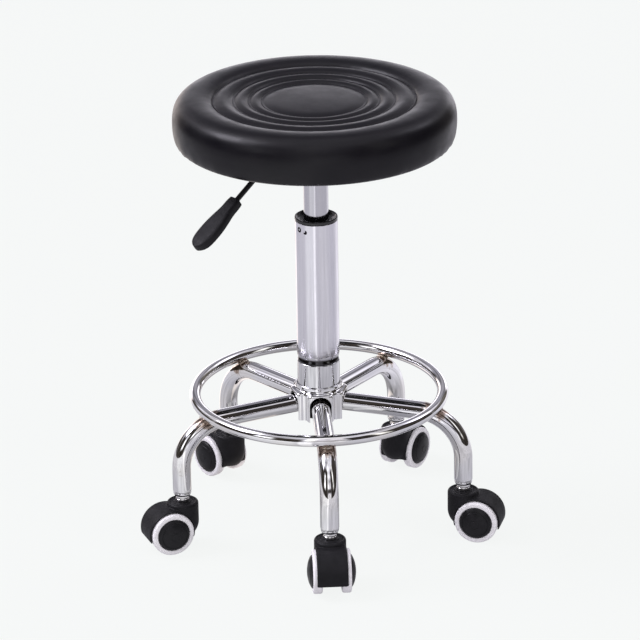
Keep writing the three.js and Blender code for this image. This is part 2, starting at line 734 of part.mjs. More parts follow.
// ---------------------------------------------------------------- the stool

const base = new THREE.Group().add(
  piece("hub", hub(), "chrome"),
  piece("base_sleeve", baseSleeve(), "chrome"),
  piece("foot_ring", footRing(), "chrome"),
);
legAzimuths.forEach((azimuth, i) => {
  base.add(turnedGroup(azimuth, piece(`leg_${i + 1}`, leg(), "chrome"), caster(i + 1)));
});

const clipTopZ = COLUMN_FOOT_Z - GAP;
const bearing = washer(
  ROD_RADIUS + GAP, ROD_RADIUS + 6, COLUMN_FOOT_Z + 4 + GAP, bearingTopZ, 16,
);
const clip = washer(ROD_RADIUS - 0.8, ROD_RADIUS + 4, clipTopZ - 1.4, clipTopZ, 12);
const button = rod(BUTTON_RADIUS, TUBE_TOP_Z - 7, BUTTON_TOP_Z, 12);
const lift = new THREE.Group().add(
  piece("column_tube", columnTube(), "satinChrome"),
  piece("guide_bush", guideBush(), "blackPlastic"),
  piece("pressure_tube", pressureTube(), "satinChrome"),
  piece("release_button", button, "zincSteel"),
  piece("piston_rod", pistonRod(), "zincSteel"),
  piece("thrust_bearing", bearing, "zincSteel"),
  piece("retaining_clip", clip, "zincSteel"),
);

const seat = turnedGroup(
  LEVER_AZIMUTH,
  piece("seat_cushion", seatCushion(), "leather"),
  piece("seat_board", seatBoard(), "plywood"),
  piece("mounting_plate", mountingPlate(), "blackSteel"),
  piece("lever_rod", leverRod(), "blackSteel"),
  piece("lever_pivot_pin", pivotPin(), "zincSteel"),
  placedGrip(),
);
boltPlaces.forEach((place, i) => {
  seat.add(piece(`plate_bolt_${i + 1}`, plateBolt(place), "zincSteel"));
});

const onColumn = new THREE.Group().add(base, lift, seat);
onColumn.position.y = COLUMN_Y;
const stool = new THREE.Group().add(onColumn);

export default stool;
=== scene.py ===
"""The finished look of a rolling stylist stool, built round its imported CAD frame.

Lengths are millimetres, and mesh_of(), bevel() and moved() turn them into Blender's metres; only the
stage, the camera and the lights are in metres. Pieces are modelled about the column's axis, on the side
of the front leg, which is -Y, and place() turns them about it.
"""

import json
from math import atan, atan2, copysign, cos, hypot, pi, radians, sin, tan

import bmesh
import bpy
import numpy as np
from mathutils import Matrix, Vector


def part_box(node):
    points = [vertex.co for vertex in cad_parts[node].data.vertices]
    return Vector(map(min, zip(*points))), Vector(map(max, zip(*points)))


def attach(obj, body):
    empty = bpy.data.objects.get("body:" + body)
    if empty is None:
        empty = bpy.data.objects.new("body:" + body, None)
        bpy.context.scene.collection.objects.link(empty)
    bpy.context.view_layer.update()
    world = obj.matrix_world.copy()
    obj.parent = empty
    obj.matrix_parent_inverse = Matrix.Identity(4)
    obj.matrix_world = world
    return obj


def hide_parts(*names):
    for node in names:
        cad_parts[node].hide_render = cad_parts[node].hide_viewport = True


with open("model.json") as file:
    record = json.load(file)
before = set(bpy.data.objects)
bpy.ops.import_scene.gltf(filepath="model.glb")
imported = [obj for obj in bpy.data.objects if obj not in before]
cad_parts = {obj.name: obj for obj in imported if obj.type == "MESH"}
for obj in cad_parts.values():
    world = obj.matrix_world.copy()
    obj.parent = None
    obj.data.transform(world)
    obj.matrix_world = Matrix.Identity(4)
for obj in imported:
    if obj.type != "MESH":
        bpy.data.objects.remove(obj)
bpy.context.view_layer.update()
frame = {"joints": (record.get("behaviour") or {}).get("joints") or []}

MM = 0.001


def box_mm(node):
    """A CAD node's lowest and highest corners in millimetres."""
    return [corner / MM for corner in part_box(node)]


# ---- sizes read from the frame

joints = {joint["name"]: Vector(joint["pos_m"]) / MM for joint in frame["joints"] if "pos_m" in joint}
column_low, column_high = box_mm("column_tube")
COLUMN_Y = (column_low.y + column_high.y) / 2
COLUMN_RADIUS = (column_high.x - column_low.x) / 2
COLUMN_TOP = column_high.z

LEG_COUNT = 5
caster_places = [joints[f"caster_{i}_swivel"] - Vector((0, COLUMN_Y, 0)) for i in range(1, LEG_COUNT + 1)]
leg_azimuths = [atan2(place.x, -place.y) for place in caster_places]
LEG_REACH = hypot(caster_places[0].x, caster_places[0].y)
wheel_place = joints["wheel_1_left_spin"]
TRAIL = -(wheel_place.y - COLUMN_Y) - LEG_REACH
WHEEL_RADIUS = wheel_place.z

lever_pivot = joints["lever_lift"] - Vector((0, COLUMN_Y, 0))
LEVER_AZIMUTH = atan2(lever_pivot.x, -lever_pivot.y)
PIVOT_REACH = hypot(lever_pivot.x, lever_pivot.y)
PIVOT_Z = lever_pivot.z
SEAT_BOTTOM = box_mm("seat_cushion")[0].z

# ---- sizes of the details

LEG_RADIUS = 10.7
LEG_ROOT_Z = 155.4
LEG_FALL = radians(2.2)
LEG_BEND_RADIUS = 55.0
SLEEVE_RADIUS = 24.4
SLEEVE_BORE = 20.8
SLEEVE_BOTTOM = 140.0
SLEEVE_TOP = 205.5
SKIRT_RADIUS = 25.8
SKIRT_BOTTOM = 138.0
SKIRT_TOP = 178.0
CUP_RADIUS = 26.8
CUP_TOP = 171.6
ARCH_RADIUS = 12.4
ARCH_CENTRE_Z = 156.9
CANOPY_WALL = 1.8
CANOPY_REACH = 31.5
RING_TUBE_RADIUS = 6.5
COLUMN_SHOULDER = 211.6
TUBE_RADIUS = 14.2
TUBE_BORE = TUBE_RADIUS + 0.3
BUSH_TOP = 381.5
LEVER_RADIUS = 3.0
LEVER_BEND_REACH = 94.0
LEVER_BEND_Z = 451.0
LEVER_AXIS_Z = 461.0
LEVER_BEND_RADIUS = 14.0
LEVER_DROOP = radians(32.1)
GRIP_START = 34.9
GRIP_LENGTH = 73.5
HOUSING_RADIUS = 18.2
HOUSING_TOP = 57.2
HOOD_RADIUS = 27.5
HOOD_HALF_WIDTH = 18.0
HOOD_WEB_HALF = 10.0
HOOD_BOTTOM = 17.0
WELL_RADIUS = 25.8
BOARD_RADIUS = 146.2
BOARD_LOW = SEAT_BOTTOM + 0.3
BOARD_TOP = BOARD_LOW + 11.7
GROOVES = (58.6, 73.4, 90.8, 114.4)


# ---- meshes

def smooth_min(a, b, blend):
    """The smaller of two distances, with a fillet where they meet."""
    share = np.clip(0.5 + 0.5 * (b - a) / blend, 0, 1)
    return b * (1 - share) + a * share - blend * share * (1 - share)


def smooth_max(a, b, blend):
    """The larger of two distances, with a rounded edge where they meet."""
    return -smooth_min(-a, -b, blend)


def slope_of(field, points, step=0.05):
    """The field's gradient at each point."""
    return np.stack([
        (field(points + offset) - field(points - offset)) / (2 * step)
        for offset in np.eye(3) * step
    ], axis=-1)


def surface_net(field, low, high, cell):
    """The zero surface of a distance field inside a box, as points, quads and normals."""
    axes = [np.arange(l, h + cell, cell) for l, h in zip(low, high)]
    grid = np.stack(np.meshgrid(*axes, indexing="ij"), axis=-1)
    value = field(grid)
    cells = [n - 1 for n in value.shape]
    total, hits = np.zeros(cells + [3]), np.zeros(cells)
    edges = []
    for axis in range(3):
        across, along = (axis + 1) % 3, (axis + 2) % 3
        first = np.take(value, range(cells[axis]), axis)
        second = np.take(value, range(1, cells[axis] + 1), axis)
        found = np.argwhere((first < 0) != (second < 0))
        a, b = first[tuple(found.T)], second[tuple(found.T)]
        crossing = grid[tuple(found.T)]
        crossing[:, axis] += cell * a / (a - b)
        corners = []
        for step_across, step_along in ((1, 1), (0, 1), (0, 0), (1, 0)):
            corner = found.copy()
            corner[:, across] -= step_across
            corner[:, along] -= step_along
            corners.append(corner)
            np.add.at(total, tuple(corner.T), crossing)
            np.add.at(hits, tuple(corner.T), 1)
        edges.append((corners, a < 0))
    index = np.cumsum(hits.ravel() > 0).reshape(hits.shape) - 1
    points = total[hits > 0] / hits[hits > 0][:, None]
    quads = []
    for corners, outward in edges:
        ring = np.stack([index[tuple(corner.T)] for corner in corners], axis=1)
        ring[~outward] = ring[~outward][:, ::-1]
        quads.append(ring)
    for _ in range(3):
        slope = slope_of(field, points)
        points -= field(points)[:, None] * slope / (slope**2).sum(1, keepdims=True)
    slope = slope_of(field, points)
    return points, np.concatenate(quads), slope / np.linalg.norm(slope, axis=1, keepdims=True)


def rounded(profile, steps=4, closed=False):
    """A profile of [radius, height] or [radius, height, fillet] points with its corners rounded."""
    count = len(profile)
    points = []
    for i, (r, z, *fillet) in enumerate(profile):
        here = Vector((r, z))
        if not fillet or (not closed and i in (0, count - 1)):
            points.append(tuple(here))
            continue
        before, after = (Vector(profile[k % count][:2]) - here for k in (i - 1, i + 1))
        reach = min(fillet[0], 0.48 * before.length, 0.48 * after.length)
        start, end = (here + side.normalized() * reach for side in (before, after))
        for t in (step / steps for step in range(steps + 1)):
            points.append(tuple(start * (1 - t) ** 2 + here * 2 * t * (1 - t) + end * t**2))
    return points


def turns(count):
    """The angles of points spaced evenly round a circle."""
    return [2 * pi * k / count for k in range(count)]


def lathe(profile, segments, closed=False):
    """Points and faces of a profile turned about Z; an open profile starts and ends on the axis."""
    points, rows, faces = [], [], []
    for r, z in profile:
        start = len(points)
        if r < 1e-6:
            points.append((0, 0, z))
            rows.append([start] * segments)
            continue
        points += [(r * cos(turn), r * sin(turn), z) for turn in turns(segments)]
        rows.append(list(range(start, start + segments)))
    for lower, upper in zip(rows, rows[1:] + rows[:1] * closed):
        for k in range(segments):
            nxt = (k + 1) % segments
            face = list(dict.fromkeys([lower[k], lower[nxt], upper[nxt], upper[k]]))
            if len(face) > 2:
                faces.append(face)
    return points, faces


def skin(sections, capped=True):
    """Points and faces through closed sections with equally many points."""
    count = len(sections[0])
    points = [point for section in sections for point in section]
    faces = []
    for start in range(0, len(points) - count, count):
        for k in range(count):
            a, b = start + k, start + (k + 1) % count
            faces.append((a, b, b + count, a + count))
    if capped:
        faces += [list(range(count))[::-1], list(range(len(points) - count, len(points)))]
    return points, faces


def tube(stations, sides):
    """Points and faces of a bar through (centre, tangent, radius) stations in the X = 0 plane."""
    across = Vector((1, 0, 0))
    sections = []
    for centre, tangent, radius in stations:
        up = Vector(tangent).normalized().cross(across)
        sections.append([Vector(centre) + radius * (cos(turn) * across + sin(turn) * up)
                         for turn in turns(sides)])
    return skin(sections)


def prism(outline, low, high):
    """Points and faces of an outline in XY, counter-clockwise, between two heights."""
    return skin([[(x, y, z) for x, y in outline] for z in (low, high)])


def joined(*solids):
    """Several solids' points and faces as one list of each."""
    points, faces = [], []
    for more_points, more_faces in solids:
        start = len(points)
        points += list(more_points)
        faces += [[start + k for k in face] for face in more_faces]
    return points, faces


def turned_to(solid, matrix):
    """A solid moved by a matrix."""
    return [matrix @ Vector(point) for point in solid[0]], solid[1]


def smooth_through(points, steps):
    """A Catmull-Rom curve through a list of points."""
    padded = np.array([points[0], *points, points[-1]], float)
    made = []
    for p0, p1, p2, p3 in zip(padded, padded[1:], padded[2:], padded[3:]):
        for step in range(steps):
            t = step / steps
            made.append(tuple(0.5 * (2 * p1 + (p2 - p0) * t + (2 * p0 - 5 * p1 + 4 * p2 - p3) * t**2
                                     + (3 * p1 - p0 - 3 * p2 + p3) * t**3)))
    return made + [tuple(padded[-1])]


def mesh_of(name, solid, sharp=radians(40)):
    """A smooth-shaded mesh in metres from points and faces, and normals if the solid has them."""
    points, faces, *normals = solid
    mesh = bpy.data.meshes.new(name)
    mesh.from_pydata([tuple(c * MM for c in point) for point in points], [],
                     [tuple(map(int, face)) for face in faces])
    mesh.validate()
    if normals:
        mesh.shade_smooth()
        mesh.normals_split_custom_set_from_vertices([tuple(normal) for normal in normals[0]])
        return mesh
    work = bmesh.new()
    work.from_mesh(mesh)
    bmesh.ops.recalc_face_normals(work, faces=work.faces)
    work.to_mesh(mesh)
    work.free()
    mesh.shade_smooth()
    mesh.set_sharp_from_angle(angle=sharp)
    return mesh


def turned(name, profile, segments, steps=4, closed=False):
    """A mesh turned from a profile whose corners are rounded."""
    return mesh_of(name, lathe(rounded(profile, steps, closed), segments, closed))


def place(name, shape, look, body, stands_for=(), azimuth=0.0, local=Matrix.Identity(4)):
    """A piece of a mesh or solid, turned about the column, riding on a body, standing for CAD nodes."""
    mesh = shape if isinstance(shape, bpy.types.Mesh) else mesh_of(name, shape)
    piece = bpy.data.objects.new(name, mesh)
    bpy.context.scene.collection.objects.link(piece)
    if not mesh.materials:
        mesh.materials.append(materials[look])
    piece.matrix_world = moved(y=COLUMN_Y) @ Matrix.Rotation(azimuth, 4, "Z") @ local
    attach(piece, body)
    if stands_for:
        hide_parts(*stands_for)
    return piece


def even_normals(piece):
    """Shades a piece's large faces flat and puts the turn of its normals in the small ones."""
    modifier = piece.modifiers.new("even_normals", "WEIGHTED_NORMAL")
    modifier.keep_sharp = True
    return piece


def turned_piece(name, profile, segments, steps, closed, look, body, node, azimuth=0.0):
    """A turned piece that stands for one CAD node, with even normals."""
    mesh = turned(name, profile, segments, steps, closed)
    return even_normals(place(name, mesh, look, body, [node], azimuth))


def bevel(piece, width, segments=3):
    """Rounds a piece's hard edges by a width in millimetres."""
    modifier = piece.modifiers.new("bevel", "BEVEL")
    modifier.width = width * MM
    modifier.segments = segments
    modifier.limit_method = "ANGLE"
    modifier.angle_limit = radians(35)
    modifier.harden_normals = True
    return piece


def moved(x=0.0, y=0.0, z=0.0):
    """A shift given in millimetres, as a matrix in metres."""
    return Matrix.Translation((x * MM, y * MM, z * MM))


# ---- materials

class Graph:
    """A node tree, with a short call for each kind of node that the looks are made of."""

    def __init__(self, owner, coordinates="Object"):
        owner.use_nodes = True
        self.nodes, self.links = owner.node_tree.nodes, owner.node_tree.links
        self.place = self.node("TexCoord", {}, coordinates)

    def put(self, socket, value):
        """Links a socket to an output, or gives it a constant."""
        if isinstance(value, bpy.types.NodeSocket):
            self.links.new(value, socket)
        else:
            socket.default_value = value

    def node(self, kind, inputs, output, **settings):
        """An output of a new node."""
        made = self.nodes.new("ShaderNode" + kind)
        for setting, value in settings.items():
            setattr(made, setting, value)
        for socket, value in inputs.items():
            self.put(made.inputs[socket], value)
        return made.outputs[output]

    def maths(self, operation, *values):
        return self.node("Math", dict(enumerate(values)), "Value", operation=operation)

    def vector(self, operation, output, inputs):
        return self.node("VectorMath", inputs, output, operation=operation)

    def height(self):
        return self.node("SeparateXYZ", {"Vector": self.place}, "Z")

    def away(self, azimuth, reach, height):
        """Metres from a point at an azimuth in degrees, a reach from the axis and a height."""
        turn = radians(azimuth)
        point = Vector((reach * sin(turn), -reach * cos(turn), height)) * MM
        return self.vector("DISTANCE", "Value", {0: self.place, 1: point})

    def noise(self, pitch, detail=3.0, rough=0.5, stretch=None):
        """Noise of about that pitch in millimetres, its coordinates scaled by a factor per axis."""
        where = self.place
        if stretch:
            where = self.node("Mapping", {"Vector": where, "Scale": stretch}, "Vector")
        return self.node("TexNoise", {"Vector": where, "Scale": 1 / (pitch * MM), "Detail": detail,
                                      "Roughness": rough}, "Fac")

    def pattern(self, first, *rest):
        """Noise of (pitch, ...), or the distances in cells of (feature, pitch)."""
        if not isinstance(first, str):
            return self.noise(first, *rest)
        return self.node("TexVoronoi", {"Vector": self.place, "Scale": 1 / (rest[0] * MM)}, "Distance",
                         feature=first)

    def ranged(self, value, low, high, to_low=0.0, to_high=1.0, easing="LINEAR"):
        """A value brought from one range to another."""
        return self.node("MapRange", {"Value": value, "From Min": low, "From Max": high,
                                      "To Min": to_low, "To Max": to_high}, "Result",
                         interpolation_type=easing)

    def ramp(self, value, *stops):
        """A colour from (position, colour or grey) stops."""
        ramp = self.nodes.new("ShaderNodeValToRGB")
        elements = ramp.color_ramp.elements
        for position, _ in stops[1:-1]:
            elements.new(position)
        for element, (position, colour) in zip(elements, stops):
            element.position = position
            element.color = (*colour, 1) if isinstance(colour, tuple) else (colour, colour, colour, 1)
        self.links.new(value, ramp.inputs["Fac"])
        return ramp.outputs["Color"]

    def mix(self, first, second, factor=1.0, mode="MIX"):
        """Two colours as one."""
        return self.node("Mix", {"Factor": factor, "A": first, "B": second}, "Result",
                         data_type="RGBA", blend_type=mode)


materials = {}


class Surface(Graph):
    """A Principled material: mean values, and the patterns that vary them.

    tint is a pattern and colour stops, which shade darkens as painted shade; rough is a pattern and
    two roughnesses; each of bumps is a pattern, a strength and a depth in millimetres.
    """

    def __init__(self, name, base, roughness, metallic=0.0, specular=0.5, tint=None, rough=None,
                 bumps=(), shade=1.0):
        self.material = materials[name] = bpy.data.materials.new(name)
        super().__init__(self.material)
        self.sockets = self.nodes["Principled BSDF"].inputs
        self.sockets["Base Color"].default_value = (*base, 1)
        self.sockets["Roughness"].default_value = roughness
        self.sockets["Metallic"].default_value = metallic
        self.sockets["Specular IOR Level"].default_value = specular
        self.colour = self.normal = None
        if tint:
            stops = [(position, tuple(shade * c for c in colour)) for position, colour in tint[1:]]
            self.paint(self.ramp(self.pattern(*tint[0]), *stops))
        if rough:
            value = self.ranged(self.pattern(*rough[0]), 0.3, 0.7, *rough[1:])
            self.put(self.sockets["Roughness"], value)
        for pattern, strength, depth in bumps:
            self.bump(self.pattern(*pattern), strength, depth)

    def paint(self, colour):
        """Takes a colour for the base, times the colour already there."""
        self.colour = self.mix(self.colour, colour, mode="MULTIPLY") if self.colour else colour
        self.put(self.sockets["Base Color"], self.colour)

    def bump(self, height, strength, depth):
        """Relief over any relief already there."""
        below = {"Normal": self.normal} if self.normal else {}
        self.normal = self.node("Bump", {"Strength": strength, "Distance": depth * MM,
                                         "Height": height, **below}, "Normal")
        self.put(self.sockets["Normal"], self.normal)


DRAWN = (1, 1, 0.012)
GRAIN = (1, 0.06, 1)
MIRROR = dict(base=(0.86, 0.855, 0.87), roughness=0.04, metallic=1.0)
LOOKS = {
    # Mirror plating: waves of drawn tube, wiped smudges, faint warm and cool tints.
    "chrome": dict(
        MIRROR, rough=((16, 5, 0.6), 0.015, 0.08), bumps=[((30, 1), 0.35, 0.25), ((1.1, 2), 0.06, 0.02)],
        tint=((38,), (0.36, (0.88, 0.865, 0.85)), (0.52, (0.87, 0.87, 0.88)), (0.68, (0.83, 0.825, 0.86)))),
    # Plating over a drawn tube: fine lines along it, uneven polish. Its colours are darkened by shade 0.78 as
    # painted shade on the pressure tube under the seat.
    "satin_chrome": dict(
        base=(0.74, 0.73, 0.78), roughness=0.24, metallic=1.0, shade=0.78,
        tint=((9, 3, 0.5, DRAWN), (0.3, (0.71, 0.70, 0.76)), (0.7, (0.80, 0.79, 0.83))),
        rough=((14, 4, 0.6), 0.1, 0.18), bumps=[((0.5, 2, 0.5, DRAWN), 0.12, 0.02)]),
    # Coated leatherette: pebbled grain, finer creases, gloss that handling varies.
    "seat_leather": dict(
        base=(0.005, 0.0046, 0.0066), roughness=0.34, specular=0.28,
        tint=((45, 4), (0.3, (0.0036, 0.0033, 0.0054)), (0.7, (0.0062, 0.0054, 0.0078))),
        rough=((24, 5, 0.6), 0.3, 0.42),
        bumps=[((22, 2), 0.2, 0.5), (("DISTANCE_TO_EDGE", 1.5), 0.24, 0.12), ((0.5, 3, 0.65), 0.2, 0.06)]),
    # Moulded nylon with a spark-eroded texture.
    "black_plastic": dict(
        base=(0.0075, 0.0073, 0.009), roughness=0.5, specular=0.22,
        tint=((12, 4), (0.3, (0.006, 0.0058, 0.0072)), (0.72, (0.0105, 0.01, 0.0122))),
        rough=((9, 4, 0.6), 0.42, 0.6), bumps=[((0.75, 3, 0.6), 0.45, 0.14), ((10, 2), 0.1, 0.2)]),
    # The wheels' smooth moulded centres.
    "wheel_plastic": dict(
        base=(0.008, 0.008, 0.0095), roughness=0.34, specular=0.25,
        tint=((8, 3), (0.3, (0.0065, 0.0065, 0.0078)), (0.75, (0.0115, 0.011, 0.013))),
        rough=((5, 4, 0.6), 0.28, 0.44), bumps=[((0.9, 2), 0.12, 0.06)]),
    # Light grey polyurethane, a little scuffed and dusty.
    "grey_tyre": dict(
        base=(0.84, 0.82, 0.85), roughness=0.48, rough=((4, 4), 0.4, 0.6),
        tint=((7, 5, 0.62), (0.28, (0.76, 0.735, 0.765)), (0.5, (0.85, 0.825, 0.86)),
              (0.8, (0.9, 0.88, 0.91))), bumps=[((0.7, 3, 0.6), 0.16, 0.06)]),
    # Powder-coated steel with a fine orange peel.
    "black_steel": dict(
        base=(0.01, 0.01, 0.0105), roughness=0.38, specular=0.4,
        tint=((14, 3), (0.3, (0.008, 0.008, 0.0085)), (0.7, (0.013, 0.013, 0.0135))),
        rough=((10, 4), 0.32, 0.5), bumps=[((1.2, 2), 0.25, 0.06)]),
    # Bright zinc plate, cloudy.
    "zinc_steel": dict(
        base=(0.52, 0.53, 0.54), roughness=0.32, metallic=1.0,
        tint=((5, 4, 0.6), (0.3, (0.45, 0.46, 0.49)), (0.7, (0.61, 0.61, 0.6))),
        rough=((3, 4), 0.24, 0.42), bumps=[((0.5, 3), 0.15, 0.04)]),
    # Raw plywood: long grain, pores and paler patches.
    "plywood": dict(
        base=(0.42, 0.3, 0.18), roughness=0.72,
        tint=((6, 6, 0.6, GRAIN), (0.25, (0.27, 0.175, 0.095)), (0.5, (0.44, 0.31, 0.185)),
              (0.8, (0.56, 0.42, 0.27))),
        rough=((8, 4), 0.62, 0.82), bumps=[((1.2, 4, 0.6, GRAIN), 0.4, 0.12)]),
    # Plated weld beads, tinted brown by heat and pitted.
    "weld_metal": dict(
        base=(0.42, 0.33, 0.24), roughness=0.3, metallic=1.0,
        tint=((4, 4, 0.6), (0.3, (0.2, 0.14, 0.09)), (0.55, (0.48, 0.4, 0.32)), (0.75, (0.75, 0.73, 0.72))),
        rough=((2, 4), 0.15, 0.45), bumps=[((0.9, 3), 0.5, 0.15)]),
    # Plastic polished and greased by the tube.
    "bush_plastic": dict(
        base=(0.014, 0.0135, 0.015), roughness=0.16, specular=0.55,
        tint=((5, 4, 0.6), (0.3, (0.009, 0.009, 0.01)), (0.7, (0.022, 0.021, 0.023))),
        rough=((6, 4, 0.6), 0.08, 0.3), bumps=[((1.4, 4, 0.6), 0.5, 0.25)]),
    # Black non-woven cloth: pressed points over tangled fibres.
    "dust_cloth": dict(
        base=(0.012, 0.012, 0.013), roughness=0.85, specular=0.2,
        tint=((3, 4), (0.3, (0.009, 0.009, 0.01)), (0.7, (0.016, 0.016, 0.017))),
        bumps=[(("F1", 1.6), 0.3, 0.1), ((0.6, 4, 0.7), 0.4, 0.1)]),
}
for look_name, look in LOOKS.items():
    Surface(look_name, **look)


# ---- base

def arc_stations(centre, radius, from_slope, to_slope, steps, width):
    """Stations of a bend that turns downward, about a centre given as (outward, height)."""
    stations = []
    for k in range(steps + 1):
        slope = from_slope + (to_slope - from_slope) * k / steps
        c, s = cos(slope), sin(slope)
        stations.append(((0, -centre[0] - radius * s, centre[1] + radius * c), (0, -c, -s), width))
    return stations


bend_centre_reach = LEG_REACH - LEG_BEND_RADIUS
bend_start_reach = bend_centre_reach + LEG_BEND_RADIUS * sin(LEG_FALL)
bend_start_z = LEG_ROOT_Z - (bend_start_reach - SLEEVE_RADIUS) * tan(LEG_FALL)
bend_centre_z = bend_start_z - LEG_BEND_RADIUS * cos(LEG_FALL)


def leg_mesh():
    """A bent tube from the sleeve to its drawn-in foot, which is open round the stem."""
    slope = (0, -cos(LEG_FALL), -sin(LEG_FALL))
    root = SLEEVE_RADIUS + 0.4
    stations = [((0, -root, LEG_ROOT_Z), slope, LEG_RADIUS - 1.6)]
    for share in (0, 0.25, 0.5, 0.75):
        out = (bend_start_reach - root) * share
        stations.append(((0, -root - out, LEG_ROOT_Z - out * tan(LEG_FALL)), slope, LEG_RADIUS))
    stations += arc_stations((bend_centre_reach, bend_centre_z), LEG_BEND_RADIUS, LEG_FALL,
                             pi / 2, 28, LEG_RADIUS)
    foot = [(85, 10.7), (73, 10.7), (70.8, 10.66), (70.3, 10.5), (69.9, 10.1), (69.4, 9.95),
            (68.9, 10.1), (68.5, 10.38), (67.9, 10.35), (66.8, 10.05), (65.8, 9.7), (65.25, 9.35),
            (65, 8.9), (65, 6.1), (65.4, 5.8), (80, 5.8)]
    stations += [((0, -LEG_REACH, z), (0, 0, -1), radius) for z, radius in foot]
    return mesh_of("leg_tube", tube(stations, 40))


def hub_field(points):
    """The hub: a cup that swells out round each leg, arched over it, with a lip round its top."""
    x, y, z = points[..., 0], points[..., 1], points[..., 2]
    r = np.hypot(x, y)
    step = 2 * pi / LEG_COUNT
    turn = np.arctan2(x, -y)
    turn -= step * np.round(turn / step)
    outward, aside = r * np.cos(turn), np.abs(r * np.sin(turn))
    bore = SLEEVE_RADIUS + 0.2
    swell = smooth_max(aside - ARCH_RADIUS - CANOPY_WALL, outward - CANOPY_REACH, 5)
    cup = smooth_max(smooth_min(r - CUP_RADIUS, swell, 9), z - CUP_TOP, 4)
    collar = smooth_max(r - SKIRT_RADIUS - 0.4, z - SKIRT_TOP, 0.9)
    whole = smooth_min(cup, collar, 3.5)
    whole = np.maximum(whole, np.maximum(bore - r, SKIRT_BOTTOM - z))
    arch = np.where(z > ARCH_CENTRE_Z, np.hypot(aside, z - ARCH_CENTRE_Z), aside)
    return smooth_max(whole, np.minimum(ARCH_RADIUS - arch, 50.0), 0.7)


def plate_sleeve_and_shade():
    """The sleeve's plating, a little darker than the other chrome, with painted shade making it near-black
    below the hub's top.
    """
    made = Surface("sleeve_chrome", **MIRROR, rough=((16, 5, 0.6), 0.02, 0.09), bumps=[((30, 1), 0.35, 0.25)])
    # Painted shade: near-black below the hub's top, for the dark seen through the arches over the legs.
    covered = made.ranged(made.height(), (SKIRT_TOP - 3) * MM, (SKIRT_TOP - 1) * MM)
    made.paint(made.ramp(covered, (0, (0.02, 0.018, 0.017)), (1, (0.72, 0.72, 0.74))))


def plate_legs(weld_reach, weld_z):
    """A leg's plating, stained brown in blotches where the ring is welded on."""
    made = Surface("leg_chrome", **LOOKS["chrome"])
    near = made.ranged(made.away(0, weld_reach, weld_z), 0.008, 0.023, 0.5, 0)
    heat = made.maths("ADD", near, made.noise(6.25, 4))
    made.paint(made.ramp(heat, (0.68, 1), (0.82, (0.55, 0.46, 0.4)), (0.95, (0.2, 0.145, 0.115))))


def build_base():
    """Hub, sleeve, foot ring and legs with the welds between them."""
    reach = hypot(CANOPY_REACH, ARCH_RADIUS + CANOPY_WALL) + 1
    net = surface_net(hub_field, (-reach, -reach, SKIRT_BOTTOM - 1.5), (reach, reach, SKIRT_TOP + 1.5), 0.7)
    place("hub_shell", net, "chrome", "base", ["hub"])

    sleeve = [[SLEEVE_BORE, SLEEVE_BOTTOM, 0.6], [SLEEVE_RADIUS, SLEEVE_BOTTOM, 0.6],
              [SLEEVE_RADIUS, SLEEVE_TOP, 1.2], [SLEEVE_BORE, SLEEVE_TOP, 0.8]]
    plate_sleeve_and_shade()
    turned_piece("sleeve_tube", sleeve, 128, 4, True, "sleeve_chrome", "base", "base_sleeve")

    ring_low, ring_high = box_mm("foot_ring")
    ring_radius = (ring_high.x - ring_low.x) / 2 - RING_TUBE_RADIUS
    ring_z = (ring_low.z + ring_high.z) / 2
    section = [(ring_radius + RING_TUBE_RADIUS * cos(turn), ring_z + RING_TUBE_RADIUS * sin(turn))
               for turn in turns(28)]
    place("foot_ring_tube", mesh_of("foot_ring_tube", lathe(section, 192, True), pi), "chrome", "base",
          ["foot_ring"])

    # Each weld is a run of short beads in the corner between the ring and a leg's bend.
    lean = atan2(ring_radius - bend_centre_reach, ring_z - bend_centre_z)
    touch = LEG_BEND_RADIUS + LEG_RADIUS
    bead = lathe(rounded([[0, -1.6], [1.5, -1.1, 0.8], [1.9, 0, 0.8], [1.5, 1.1, 0.8], [0, 1.6]], 3), 14)
    beads = []
    for side in (-1, 1):
        for k in range(-3, 4):
            over = lean + side * (4.6 - 0.16 * k * k) / touch
            rise = touch - 0.13 * k * k + 0.5
            put = Matrix.Translation((1.35 * k, -bend_centre_reach - rise * sin(over),
                                      bend_centre_z + rise * cos(over)))
            spin = Matrix.Rotation(pi / 2, 4, "Y") @ Matrix.Rotation(0.3 * side, 4, "X")
            beads.append(turned_to(bead, put @ spin @ Matrix.Diagonal((0.9 + 0.05 * (k % 3), 1.1, 1, 1))))
    weld = mesh_of("weld", joined(*beads), pi)
    plate_legs(bend_centre_reach + touch * sin(lean), bend_centre_z + touch * cos(lean))
    leg = leg_mesh()
    for i, azimuth in enumerate(leg_azimuths, 1):
        place(f"weld_{i}", weld, "weld_metal", "base", azimuth=azimuth)
        even_normals(place(f"leg_tube_{i}", leg, "leg_chrome", "base", [f"leg_{i}"], azimuth))


build_base()


# ---- gas lift

